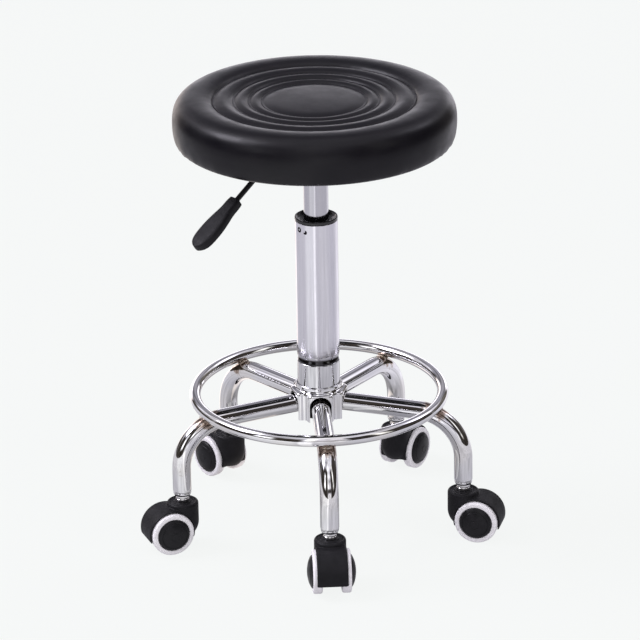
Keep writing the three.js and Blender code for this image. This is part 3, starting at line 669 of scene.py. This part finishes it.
def plate_column():
    """The column's plating with two punch marks near its mouth, a ring and a crescent, and painted shade at
    its shoulder.
    """
    # The column's copy of the satin plating, at full brightness; the pressure tube's copy is darkened as
    # painted shade.
    made = Surface("column_chrome", **dict(LOOKS["satin_chrome"], shade=1.0))

    def ramped(value, low, high, *stops):
        scaled = made.ranged(value, low * MM, high * MM)
        return made.ramp(scaled, *(((at - low) / (high - low), tone) for at, tone in stops))

    def around(azimuth, below, *stops):
        return ramped(made.away(azimuth, COLUMN_RADIUS, COLUMN_TOP - below), 0, 4, *stops)

    # Painted shade: darkest at and below the shoulder, fading out 5 mm above it, for the dark gap over the
    # sleeve.
    neck_shade = ramped(made.height(), COLUMN_SHOULDER - 2, COLUMN_SHOULDER + 6, (COLUMN_SHOULDER - 0.2, 0.1),
                  (COLUMN_SHOULDER + 0.5, 0.5), (COLUMN_SHOULDER + 5, 1))
    ring = around(-55.5, 7.4, (0, 1), (0.9, 1), (1.2, 0.02), (2.9, 0.02), (3.3, 1))
    disc = around(-35, 8.9, (0, 0.02), (2.2, 0.02), (2.6, 1))
    cover = around(-39.5, 7.4, (0, 1), (1.9, 1), (2.1, 0))
    marks = made.mix(ring, made.mix(disc, cover, mode="LIGHTEN"), mode="MULTIPLY")
    made.paint(marks)
    made.paint(neck_shade)
    made.bump(marks, 0.9, 0.3)


def build_lift():
    """Column, bush, pressure tube, rod and the small parts at their ends."""
    def ends(node):
        return [corner.z for corner in box_mm(node)]

    seat = SLEEVE_TOP + 0.3
    foot = SLEEVE_BORE - 0.3
    wall = [[5.4, 150], [foot, 150, 0.6], [foot, seat, 0.2], [23.7, seat, 0.5], [23.5, seat + 1.6, 0.8],
            [22.3, COLUMN_SHOULDER - 2, 1], [22.2, COLUMN_SHOULDER, 0.2],
            [COLUMN_RADIUS - 0.5, COLUMN_SHOULDER, 0.6], [COLUMN_RADIUS, COLUMN_SHOULDER + 2.5, 2],
            [COLUMN_RADIUS, COLUMN_TOP, 1.3], [23.1, COLUMN_TOP, 0.7],
            [23.1, COLUMN_SHOULDER + 4, 1], [foot - 2, seat + 3, 1], [foot - 2, 154, 1], [5.4, 154]]
    plate_column()
    turned_piece("column_outer", wall, 192, 5, True, "column_chrome", "base", "column_tube")

    bush = [[TUBE_BORE, 300, 0.5], [22.7, 300, 1], [22.7, COLUMN_TOP + 0.3], [24.6, COLUMN_TOP + 0.3, 0.4],
            [24.6, BUSH_TOP, 1.1], [22.4, BUSH_TOP, 0.9], [21.3, BUSH_TOP - 1.6, 0.8],
            [18.4, BUSH_TOP - 3, 1.5], [16.6, BUSH_TOP - 4.4, 0.8], [TUBE_BORE, BUSH_TOP - 4.7, 0.3]]
    turned_piece("bush", bush, 96, 4, True, "bush_plastic", "base", "guide_bush")

    low, high = ends("pressure_tube")
    outer = [[5.3, low, 0.5], [13.2, low, 1.2], [13.4, low + 3], [13.4, low + 5.4, 0.3],
             [TUBE_RADIUS, low + 6, 0.4], [TUBE_RADIUS, 429, 1], [TUBE_RADIUS - 0.4, high, 1.4],
             [10.5, high, 0.4], [10, high - 0.6, 0.3], [4.3, high - 0.6, 0.4], [4.3, high - 6, 0.3],
             [12.5, high - 6, 0.6], [12.5, low + 6, 0.6], [5.3, low + 6, 0.4]]
    turned_piece("inner_tube", outer, 96, 4, True, "satin_chrome", "seat", "pressure_tube")

    low, high = ends("release_button")
    button = [[0, low], [4, low, 0.3], [4, high - 0.2, 1], [0, high]]
    place("button", turned("button", button, 40), "zinc_steel", "button", ["release_button"])

    low, top = ends("piston_rod")
    shoulder = 158.6
    rod = [[0, low], [5, low, 0.9], [5, 148, 0.1], [3.9, 148], [3.9, 150], [5, 150, 0.1],
           [5, shoulder], [7, shoulder, 0.4], [7, shoulder + 2, 0.4], [5, shoulder + 2],
           [5, top - 10], [12.1, top - 10, 0.6], [12.1, top - 7, 0.3], [11, top - 6.6, 0.2],
           [11, top - 3.6, 0.2], [12.1, top - 3.2, 0.3], [12.1, top, 0.6], [0, top]]
    turned_piece("rod", rod, 64, 4, False, "zinc_steel", "piston_rod", "piston_rod")

    cage = [[5.4, 154.5, 0.4], [10.8, 154.5, 0.5], [10.8, 155.6, 0.3], [10.1, 155.8], [10.1, 156.6],
            [10.8, 156.8, 0.3], [10.8, 158.1, 0.5], [5.4, 158.1, 0.4]]
    turned_piece("bearing", cage, 56, 3, True, "zinc_steel", "piston_rod", "thrust_bearing")

    # The clip is an open flat ring.
    bends = [radians(degrees) for degrees in range(20, 341, 8)]
    outline = [(9 * cos(bend), 9 * sin(bend)) for bend in bends]
    outline += [(4.2 * cos(bend), 4.2 * sin(bend)) for bend in reversed(bends)]
    bevel(place("clip", prism(outline, 148.3, 149.7), "zinc_steel", "piston_rod", ["retaining_clip"]),
          0.25, 2)


build_lift()


# ---- casters

def hood_field(points):
    """The hood: a drum over the wheels blended to an upright housing, with wells and a pocket."""
    x, outward, z = points[..., 0], -points[..., 1], points[..., 2]
    across = np.abs(x)
    from_axle = np.hypot(outward - TRAIL, z - WHEEL_RADIUS)
    drum = smooth_max(from_axle - HOOD_RADIUS, across - HOOD_HALF_WIDTH, 2.6)
    drum = smooth_max(drum, HOOD_BOTTOM - z, 1.6)
    drawn_in = HOUSING_RADIUS * np.sqrt(1 - 0.85 * np.clip((33 - z) / 19, 0, 1) ** 2)
    from_stem = np.hypot(x, outward)
    housing = smooth_max(from_stem - drawn_in, z - HOUSING_TOP, 3.6)
    housing = smooth_max(housing, HOOD_BOTTOM - z, 1.2)
    dish = smooth_max(smooth_max(from_stem - 15.0, 9.6 - from_stem, 1), HOUSING_TOP - 1.1 - z, 0.8)
    housing = smooth_max(housing, -dish, 1)
    whole = smooth_min(drum, housing, 1.6)
    wells = smooth_max(from_axle - WELL_RADIUS, HOOD_WEB_HALF - across, 0.8)
    whole = smooth_max(whole, -wells, 0.8)
    whole = smooth_max(whole, -smooth_max(from_stem - 6.2, 39.7 - z, 0.5), 0.8)
    whole = smooth_max(whole, 3 - from_axle, 0.4)
    pocket = smooth_max(smooth_max(from_axle - 24.3, across - 7.6, 1), 23.5 - outward, 1)
    return smooth_max(whole, -pocket, 0.8)


# Profiles with the axle or the stem as their axis, the caster's middle plane at 0.
CORE = [[0, 23.6], [2.8, 23.2], [2.8, 10.7, 0.3], [6, 10.7, 0.5], [6, 12.4, 0.6], [15.6, 12.4, 0.8],
        [15.6, 12, 0.3], [18.9, 12, 0.4], [18.9, 21.7, 0.4], [18.6, 22.6, 0.8], [17.2, 23.7, 1.2],
        [15.4, 24.6, 0.5], [15.1, 24.2, 0.2], [14.6, 24.4, 0.2], [14.3, 25.1, 0.5], [12, 25.9, 2],
        [9, 26.7, 2], [5.2, 27.35, 0.6], [4.9, 27.1, 0.2], [4.4, 27.15, 0.2], [4.1, 27.5, 0.5], [0, 27.65]]
TYRE = [[19.2, 11.1, 0.5], [23.6, 11, 1], [25, 12.4, 1.6], [25, 20.3, 1.6], [23.6, 21.7, 1],
        [20.1, 21.7, 0.5], [19.2, 21.3, 0.5]]
STEM = [[0, 40.2], [4.6, 40.2, 0.8], [5, 41.5, 0.3], [5, 57.5], [6.4, 57.5, 0.2], [7.6, 57.5, 0.5],
        [7.6, 60.6, 0.5], [7.1, 61, 0.2], [7.1, 61.9, 0.2], [7.6, 62.3, 0.5], [7.6, 64.7, 0.5],
        [5.5, 64.7, 0.2], [5.5, 87, 0.8], [4.6, 88, 0.4], [0, 88]]
AXLE = [[0, -23.4], [2.5, -23.4, 0.5], [2.5, 23.4, 0.5], [0, 23.4]]


def build_casters():
    """Five casters: hood, stem, axle and a pair of wheels each."""
    hood = mesh_of("hood", surface_net(hood_field, (-19.5, -(TRAIL + HOOD_RADIUS + 1.5), HOOD_BOTTOM - 1.5),
                                       (19.5, 19.5, HOUSING_TOP + 2), 0.9))
    core = turned("wheel_core", CORE, 72)
    tyre = turned("wheel_tyre", TYRE, 96, 5, True)
    stem = turned("stem", STEM, 48)
    axle = turned("axle", AXLE, 32)
    to_stem = moved(y=-LEG_REACH)
    to_axle = moved(y=-LEG_REACH - TRAIL, z=WHEEL_RADIUS) @ Matrix.Rotation(pi / 2, 4, "Y")
    for i, azimuth in enumerate(leg_azimuths, 1):
        body = f"caster_{i}"
        place(f"hood_{i}", hood, "black_plastic", body, [f"caster_{i}_hood"], azimuth, to_stem)
        even_normals(place(f"stem_{i}", stem, "chrome", "base", [f"caster_{i}_stem"], azimuth, to_stem))
        place(f"axle_{i}", axle, "zinc_steel", body, [f"caster_{i}_axle"], azimuth, to_axle)
        for side, flip in (("left", pi), ("right", 0.0)):
            turn = to_axle @ Matrix.Rotation(flip, 4, "X")
            for part, mesh, look in (("core", core, "wheel_plastic"), ("tyre", tyre, "grey_tyre")):
                even_normals(place(f"{part}_{i}_{side}", mesh, look, f"wheel_{i}_{side}",
                                   [f"caster_{i}_{part}_{side}"], azimuth, turn))


build_casters()


# ---- seat

def cushion_profile():
    """The cushion's outline from its centre to its lower edge, rings and all, finely stepped."""
    crown = [(0, 523.9), (12, 523.8), (24, 523.5), (36, 523.0), (46, 522.4), (52, 521.6), (56.3, 520.6),
             (57.9, 519.6), (58.6, 519.2), (59.4, 519.7), (61.6, 521.7), (66, 523.1), (70.2, 522.0),
             (72.6, 520.3), (73.4, 519.8), (74.2, 520.4), (76.6, 522.8), (82, 524.4), (87.4, 523.0),
             (90, 521.1), (90.8, 520.6), (91.6, 521.2), (94.4, 523.7), (102.5, 525.7), (110, 524.3),
             (113.4, 522.1), (114.4, 521.4), (115.4, 522.2), (118, 524.8), (124, 527.1), (130.5, 528.0),
             (137.5, 527.9), (143.9, 526.9), (149.8, 524.5), (154.9, 520.6), (158.6, 515.1), (160.6, 508.3),
             (161.2, 500.8), (161.0, 493.5), (160.3, 486.0), (158.6, 479.6), (155.8, 475.2), (153, 472.9)]
    return smooth_through(crown, 3)


CLOTH = dict(quality=5, mass=0.3, tension_stiffness=12, compression_stiffness=12, shear_stiffness=6,
             bending_stiffness=0.4, shrink_min=-0.012, use_pressure=True, uniform_pressure_force=1.2,
             vertex_group_mass="held")
SETTLING_FRAMES = 24
MOST_SETTLING = 1.6
GROOVE_HOLD = 1.6
CROWN_Z, EDGE_Z = 515, 476
STAPLES, STAPLE_REACH = 36, 135.2


def settled(points, faces):
    """The cushion's cover as points, let settle as inflated cloth held down at its grooves and edge."""
    cover = bpy.data.objects.new("cover", bpy.data.meshes.new("cover"))
    outward = [face[:1] + face[:0:-1] for face in faces if max(face) < len(points)]
    cover.data.from_pydata([tuple(c * MM for c in point) for point in points], [], outward)
    bpy.context.scene.collection.objects.link(cover)
    held = cover.vertex_groups.new(name="held")
    for i, (x, y, z) in enumerate(points):
        near = min(abs(hypot(x, y) - groove) for groove in GROOVES)
        grip = max(1 - near / GROOVE_HOLD, 0) if z > CROWN_Z else 0
        held.add([i], max(grip, 1 if z < EDGE_Z else 0), "REPLACE")
    cloth = cover.modifiers.new("cloth", "CLOTH")
    for setting, value in CLOTH.items():
        setattr(cloth.settings, setting, value)
    cloth.collision_settings.use_collision = False
    cloth.point_cache.frame_start, cloth.point_cache.frame_end = 1, SETTLING_FRAMES
    scene = bpy.context.scene
    for number in range(1, SETTLING_FRAMES + 1):
        scene.frame_set(number)
    result = cover.evaluated_get(bpy.context.evaluated_depsgraph_get()).to_mesh()
    moved_to = np.array([tuple(vertex.co) for vertex in result.vertices]) / MM
    scene.frame_set(1)
    bpy.data.objects.remove(cover)
    start = np.array(points)
    shift = moved_to - start
    length = np.linalg.norm(shift, axis=1, keepdims=True)
    return start + shift * (MOST_SETTLING * np.tanh(length / MOST_SETTLING) / np.maximum(length, 1e-9))


def build_cushion():
    """The padded seat, its wrapped edge underneath, and the board with its staples."""
    profile = cushion_profile()
    # Under the rim the cover turns in below the board, and the solid closes inside it.
    recess, roof, segments = 146.5, 484.8, 200
    under = [(151.0, 472.55), (148.0, 472.5), (recess, 472.6), (recess, 474.0), (recess, roof - 0.2),
             (100, roof), (0, roof)]
    points, faces = lathe(profile + under, segments)
    covered = 1 + (len(profile) - 1) * segments
    points[:covered] = settled(points[:covered], faces)
    cushion = place("cushion", (points, faces), "seat_leather", "seat", ["seat_cushion"])

    board = [[0, BOARD_LOW], [BOARD_RADIUS, BOARD_LOW, 0.8], [BOARD_RADIUS, BOARD_TOP, 0.8], [0, BOARD_TOP]]
    place("board", turned("board", board, 128), "plywood", "seat", ["seat_board"])

    def pleat(turn):
        return max(sin(31 * turn + sin(5 * turn)) + 0.5 * sin(53 * turn + 1), 0)

    # The cover's edge is drawn in under the board in shallow pleats: (radius, height, depth of pleat).
    folds = []
    for r, z, ripple in [(152.6, 473.4, 0), (151.8, 472.6, 0.05), (149.5, 472.25, 0.12), (146, 472.15, 0.2),
                         (142, 472.1, 0.25), (136, 472.3, 0.2), (128, 472.42, 0.1), (127.6, 472.6, 0.1)]:
        folds.append([(r * cos(turn), r * sin(turn), z - ripple * pleat(turn))
                      for turn in turns(240)])
    place("turned_edge", mesh_of("turned_edge", skin(folds, capped=False), pi), "seat_leather", "seat")

    wire = prism([(-5, -0.35), (5, -0.35), (5, 0.35), (-5, 0.35)], 471.15, 471.6)
    wires = []
    for k in range(STAPLES):
        turn = 2 * pi * (k + 0.2 * sin(7 * k)) / STAPLES
        out = Matrix.Rotation(turn, 4, "Z") @ Matrix.Translation((STAPLE_REACH, 0, 0))
        wires.append(turned_to(wire, out @ Matrix.Rotation(pi / 2 + 0.12 * sin(3 * k), 4, "Z")))
    bevel(place("staples", joined(*wires), "zinc_steel", "seat"), 0.12, 2)

    # The dust cover hangs a hair below the board and is turned in at its stapled edge.
    edge = 139.0
    rows = [(0, 472.62), (40, 472.62), (80, 472.62), (110, 472.6), (126, 472.4), (134, 472.2),
            (edge - 1.2, 471.75), (edge, 471.9), (edge, 472.3), (edge - 2, 472.5), (60, 472.72), (0, 472.72)]
    place("dust_cover", lathe(rows, 120), "dust_cloth", "seat")


build_cushion()


def hexagon(width, low, high, chamfer=0.7):
    """A bolt head: six flats, with its lower corners turned off."""
    return skin([[(radius * cos(turn), radius * sin(turn), z) for turn in turns(6)]
                 for radius, z in ((width, high), (width, low + chamfer), (width - 0.9, low))])


def build_plate():
    """The bolted plate under the board, with the lever's channel and the lift's socket."""
    def steel_piece(name, solid, width, segments):
        piece = place(name, solid, "black_steel", "seat", ["mounting_plate"], LEVER_AZIMUTH)
        bevel(piece, width, segments)

    corner, middle = 12, 48
    outline = []
    for quarter, (x, y) in enumerate(((1, 1), (-1, 1), (-1, -1), (1, -1))):
        for k in range(9):
            turn = (quarter + k / 8) * pi / 2
            outline.append((middle * x + corner * cos(turn), middle * y + corner * sin(turn)))
    steel_piece("plate", prism(outline, SEAT_BOTTOM - 3, SEAT_BOTTOM), 0.7, 3)

    half, inner, low, floor, top = 24, 21.5, 448, 451, SEAT_BOTTOM - 1
    section = rounded([[-half, low, 3], [half, low, 3], [half, top], [inner, top], [inner, floor, 1.2],
                       [-inner, floor, 1.2], [-inner, top], [-half, top]], 4, True)
    steel_piece("channel", skin([[(x, y, z) for x, z in section] for y in (-35, 35)]), 0.5, 2)

    socket = [[TUBE_BORE, 430, 0.6], [19.5, 430, 1], [19.5, 446.6, 0.8], [21, 448.2, 0.3], [21, 449.4],
              [TUBE_BORE, 449.4, 0.3]]
    turned_piece("socket", socket, 72, 4, True, "black_steel", "seat", "mounting_plate", LEVER_AZIMUTH)

    seat = SEAT_BOTTOM - 3
    washer = lathe(rounded([[3.1, seat - 0.9, 0.2], [7, seat - 0.9, 0.3], [7, seat, 0.2], [3.1, seat]],
                           3, True), 32, True)
    shank = lathe([(0, seat - 4), (3, seat - 4), (3, seat + 12), (0, seat + 12)], 24)
    bolt = mesh_of("bolt", joined(hexagon(5.8, seat - 4.3, seat - 0.9), washer, shank))
    for i in range(1, 5):
        low, high = box_mm(f"plate_bolt_{i}")
        centre = (low + high) / 2 - Vector((0, COLUMN_Y, 0))
        place(f"bolt_{i}", bolt, "zinc_steel", "seat", [f"plate_bolt_{i}"],
              local=moved(centre.x, centre.y) @ Matrix.Rotation(0.4 * i, 4, "Z"))


build_plate()


# ---- lever

def grip_sections():
    """Sections of the paddle: along -Y from its shoulder, flat-faced, thick in the middle."""
    halves = [(0, 7.0), (6, 8.1), (14, 8.2), (20, 9.0), (26, 10.3), (33, 11.6), (39, 12.4), (44, 12.8),
              (49, 12.9), (54, 12.8), (60, 12.2), (64.5, 11.1), (68, 9.5), (70.6, 7.3), (72.4, 4.8),
              (73.4, 1.7)]
    thinning = 61

    def section(along, half, thick):
        """A superellipse."""
        corners = ((cos(turn), sin(turn)) for turn in turns(40))
        return [(half * copysign(abs(c) ** (2 / 4.2), c), -along,
                 thick * copysign(abs(s) ** (2 / 4.2), s)) for c, s in corners]

    sections = [section(0, 5.6, 5)]
    for along, half in smooth_through(halves, 3):
        along = min(max(along, 0), GRIP_LENGTH)
        toward_end = max(along - thinning, 0) / (GRIP_LENGTH - thinning)
        sections.append(section(along, half, 6 - 2.2 * toward_end**2))
    return sections


def build_lever():
    """The bent lever with its barrel, the pin through it, and the paddle grip."""
    lever_slope = atan((LEVER_AXIS_Z - LEVER_BEND_Z) / LEVER_BEND_REACH)
    setback = LEVER_BEND_RADIUS * tan((LEVER_DROOP - lever_slope) / 2)
    c, s = cos(lever_slope), sin(lever_slope)
    centre = (LEVER_BEND_REACH - setback * c - LEVER_BEND_RADIUS * s,
              LEVER_BEND_Z + setback * s - LEVER_BEND_RADIUS * c)
    slope, droop = (0, -c, -s), (0, -cos(LEVER_DROOP), -sin(LEVER_DROOP))

    def along_rod(reach):
        return (0, -reach, LEVER_AXIS_Z - reach * tan(lever_slope))

    def past_bend(distance):
        return (0, distance * droop[1] - LEVER_BEND_REACH, LEVER_BEND_Z + distance * droop[2])

    stations = [(along_rod(-10), slope, 2.3), (along_rod(-9.2), slope, LEVER_RADIUS)]
    stations += [(along_rod(reach), slope, LEVER_RADIUS) for reach in (15, 40, 65, 85)]
    stations += arc_stations(centre, LEVER_BEND_RADIUS, lever_slope, LEVER_DROOP, 10, LEVER_RADIUS)
    stations += [(past_bend(d), droop, LEVER_RADIUS) for d in (10, 20, GRIP_START + 28)]
    barrel = lathe(rounded([[2.3, -8, 0.3], [4.6, -8, 0.6], [4.6, 8, 0.6], [2.3, 8, 0.3]], 3, True), 40, True)
    across = Matrix.Translation((0, -PIVOT_REACH, PIVOT_Z)) @ Matrix.Rotation(pi / 2, 4, "Y")
    lever = joined(tube(stations, 28), turned_to(barrel, across))
    even_normals(place("lever", lever, "black_steel", "lever", ["lever_rod"], LEVER_AZIMUTH))

    pin = lathe(rounded([[0, -26], [2, -26, 0.5], [2, 24.3], [3.5, 24.3, 0.4], [3.5, 26.2, 0.8],
                         [0, 26.4]]), 32)
    place("pin", turned_to(pin, across), "zinc_steel", "seat", ["lever_pivot_pin"], LEVER_AZIMUTH)

    tilt = Matrix.Translation(past_bend(GRIP_START)) @ Matrix.Rotation(LEVER_DROOP, 4, "X")
    grip = mesh_of("grip", turned_to(skin(grip_sections()), tilt), radians(50))
    place("grip", grip, "black_plastic", "lever", ["lever_grip"], LEVER_AZIMUTH)


build_lever()


# ---- stage

FLOOR_COLOUR = (0.913, 0.93, 0.922, 1)
# Floor and room as the metal mirrors them: (azimuths, elevations, softness, colour).
FLOOR_PATCHES = [
    ((-66, -22), (-90, 90), 6, (0.92, 0.92, 0.95)),
    ((-20.5, -9.5), (-90, 90), 1.5, (1.33, 1.32, 1.35)),
    ((60, 116), (-90, 90), 20, (0.62, 0.61, 0.67)),
    ((118, 156), (-90, 90), 12, (0.95, 0.93, 1.0)),
    ((-168, -143), (-90, 90), 7, (1.5, 1.38, 1.32)),
    ((164, 200), (-90, 90), 6, (0.4, 0.39, 0.41)),
    ((-200, -174), (-90, 90), 4, (0.4, 0.39, 0.41)),
]
ROOM_PATCHES = [
    ((-200, 200), (-90, 5), 3, (0.85, 0.84, 0.88)),
    *[((low, low + 70), (14, 62), 3, (0.27, 0.262, 0.298)) for low in (145, -215)],
    *[((low, low + 64), (-9, 12.5), 2.5, (1.75, 1.7, 1.84)) for low in (148, -212)],
    ((-172, -146), (-14, 8), 4, (2.8, 2.5, 2.4)),
    ((146, 172), (-14, 8), 4, (2.1, 2.04, 2.2)),
    ((22, 112), (-40, 50), 4, (0.04, 0.034, 0.031)),
    ((112, 150), (-40, 24), 4, (0.12, 0.11, 0.1)),
    ((-106, -19), (-40, 50), 4, (0.04, 0.034, 0.03)),
    ((-150, -106), (-40, 17), 4, (0.07, 0.062, 0.056)),
    ((-17, 22), (9, 17), 2, (0.06, 0.052, 0.05)),
    ((-17, -7), (17, 70), 3, (1.5, 1.5, 1.5)),
    ((50, 62), (10, 60), 4, (1.1, 1.08, 1.05)),
    ((-62, -46), (10, 36), 3, (1.4, 1.4, 1.45)),
    ((-116, -78), (35, 59), 6, (10.5, 10.2, 11.4)),
    ((108, 128), (34, 50), 5, (2.6, 2.55, 2.9)),
    ((-200, 200), (74, 95), 8, (0.9, 0.9, 0.94)),
]


def painted(graph, ground, patches):
    """A colour painted over directions, each patch (azimuths, elevations, softness, colour) in degrees."""
    x, y, z = (graph.node("SeparateXYZ", {"Vector": graph.place}, axis) for axis in "XYZ")
    azimuth = graph.maths("DEGREES", graph.maths("ARCTAN2", x, graph.maths("MULTIPLY", y, -1.0)))
    elevation = graph.maths("DEGREES", graph.maths("ARCSINE", z))

    def inside(value, low, high, soft):
        rise = graph.ranged(value, low - soft, low + soft, 0, 1, "SMOOTHSTEP")
        fall = graph.ranged(value, high - soft, high + soft, 1, 0, "SMOOTHSTEP")
        return graph.maths("MULTIPLY", rise, fall)

    colour = (*ground, 1)
    for azimuths, elevations, soft, tone in patches:
        mask = graph.maths("MULTIPLY", inside(azimuth, *azimuths, soft), inside(elevation, *elevations, soft))
        colour = graph.mix(colour, (*tone, 1), mask)
    return colour


def mirrored(graph, colour, brightness):
    """The floor's own colour to the camera, and a painted one times a brightness to every other ray."""
    varied = graph.vector("SCALE", "Vector", {0: colour, "Scale": brightness})
    return graph.mix(varied, FLOOR_COLOUR, graph.node("LightPath", {}, "Is Camera Ray"))


def build_stage():
    """A pale floor that takes only a faint shadow and is painted for the metal to mirror."""
    bpy.ops.mesh.primitive_circle_add(vertices=96, radius=2.4, fill_type="NGON")
    floor = bpy.context.object
    floor.name = "floor"
    made = Surface("floor", (0.05, 0.05, 0.05), 0.9, specular=0)
    # Near the stool the floor mirrors darker and streakier, as its own underside shades it.
    distance = made.vector("LENGTH", "Value", {0: made.place})
    fall = made.ramp(distance, (0.1, 0.45), (0.22, 0.8), (0.42, 0.83), (0.62, 1))
    streaks = made.ranged(made.noise(1000 / 9, 3), 0.35, 0.65, 0.82, 1.14)
    colour = painted(made, (0.66, 0.65, 0.7), FLOOR_PATCHES)
    made.put(made.sockets["Emission Color"], mirrored(made, colour, made.maths("MULTIPLY", fall, streaks)))
    made.sockets["Emission Strength"].default_value = 0.95
    floor.data.materials.append(made.material)


CAMERA_PLACE = (-0.2422, -4.2163 + COLUMN_Y * MM, 1.965)
CAMERA_TURNS = ((-3.406, "Z"), (90 - 22.06, "X"), (-0.88, "Z"))


def build_camera():
    """The camera, a little to the left of the front leg and looking down on the stool."""
    data = bpy.data.cameras.new("camera")
    data.sensor_width, data.lens = 36, 223.3
    data.shift_x, data.shift_y = -0.0084, -0.0006
    data.clip_start, data.clip_end = 0.1, 100
    camera = bpy.data.objects.new("camera", data)
    bpy.context.scene.collection.objects.link(camera)
    pose = Matrix.Translation(CAMERA_PLACE)
    for degrees, axis in CAMERA_TURNS:
        pose = pose @ Matrix.Rotation(radians(degrees), 4, axis)
    camera.matrix_world = pose
    bpy.context.scene.camera = camera


# Panels that light the matt pieces and stay out of the mirrors: (place in metres, watts).
PANELS = {"left_panel": ((-2.0, -1.9, 1.3), 17), "right_panel": ((2.1, -1.8, 1.1), 14),
          "front_panel": ((0.1, -2.9, 0.9), 9)}
PANEL_WIDTH = 1.3
PANEL_AIM = Vector((0, 0, 0.1))


def build_lights():
    """Soft panels in front and at the sides, and a world that mirrors as a studio."""
    world = bpy.data.worlds.new("studio")
    bpy.context.scene.world = world
    graph = Graph(world, "Generated")
    clutter = graph.ranged(graph.noise(200, 4), 0.35, 0.65, 0.45, 1.5)
    colour = mirrored(graph, painted(graph, (0.74, 0.72, 0.78), ROOM_PATCHES), clutter)
    background = graph.nodes["Background"].inputs
    graph.put(background["Color"], colour)
    background["Strength"].default_value = 1.0

    for name, (place_at, power) in PANELS.items():
        data = bpy.data.lights.new(name, "AREA")
        data.shape, data.size, data.energy = "DISK", PANEL_WIDTH, power
        panel = bpy.data.objects.new(name, data)
        bpy.context.scene.collection.objects.link(panel)
        panel.location = place_at
        panel.rotation_euler = (PANEL_AIM - Vector(place_at)).to_track_quat("-Z", "Y").to_euler()
        panel.visible_glossy = panel.visible_camera = False


build_stage()
build_camera()
build_lights()
bpy.context.scene.view_settings.view_transform = "Standard"
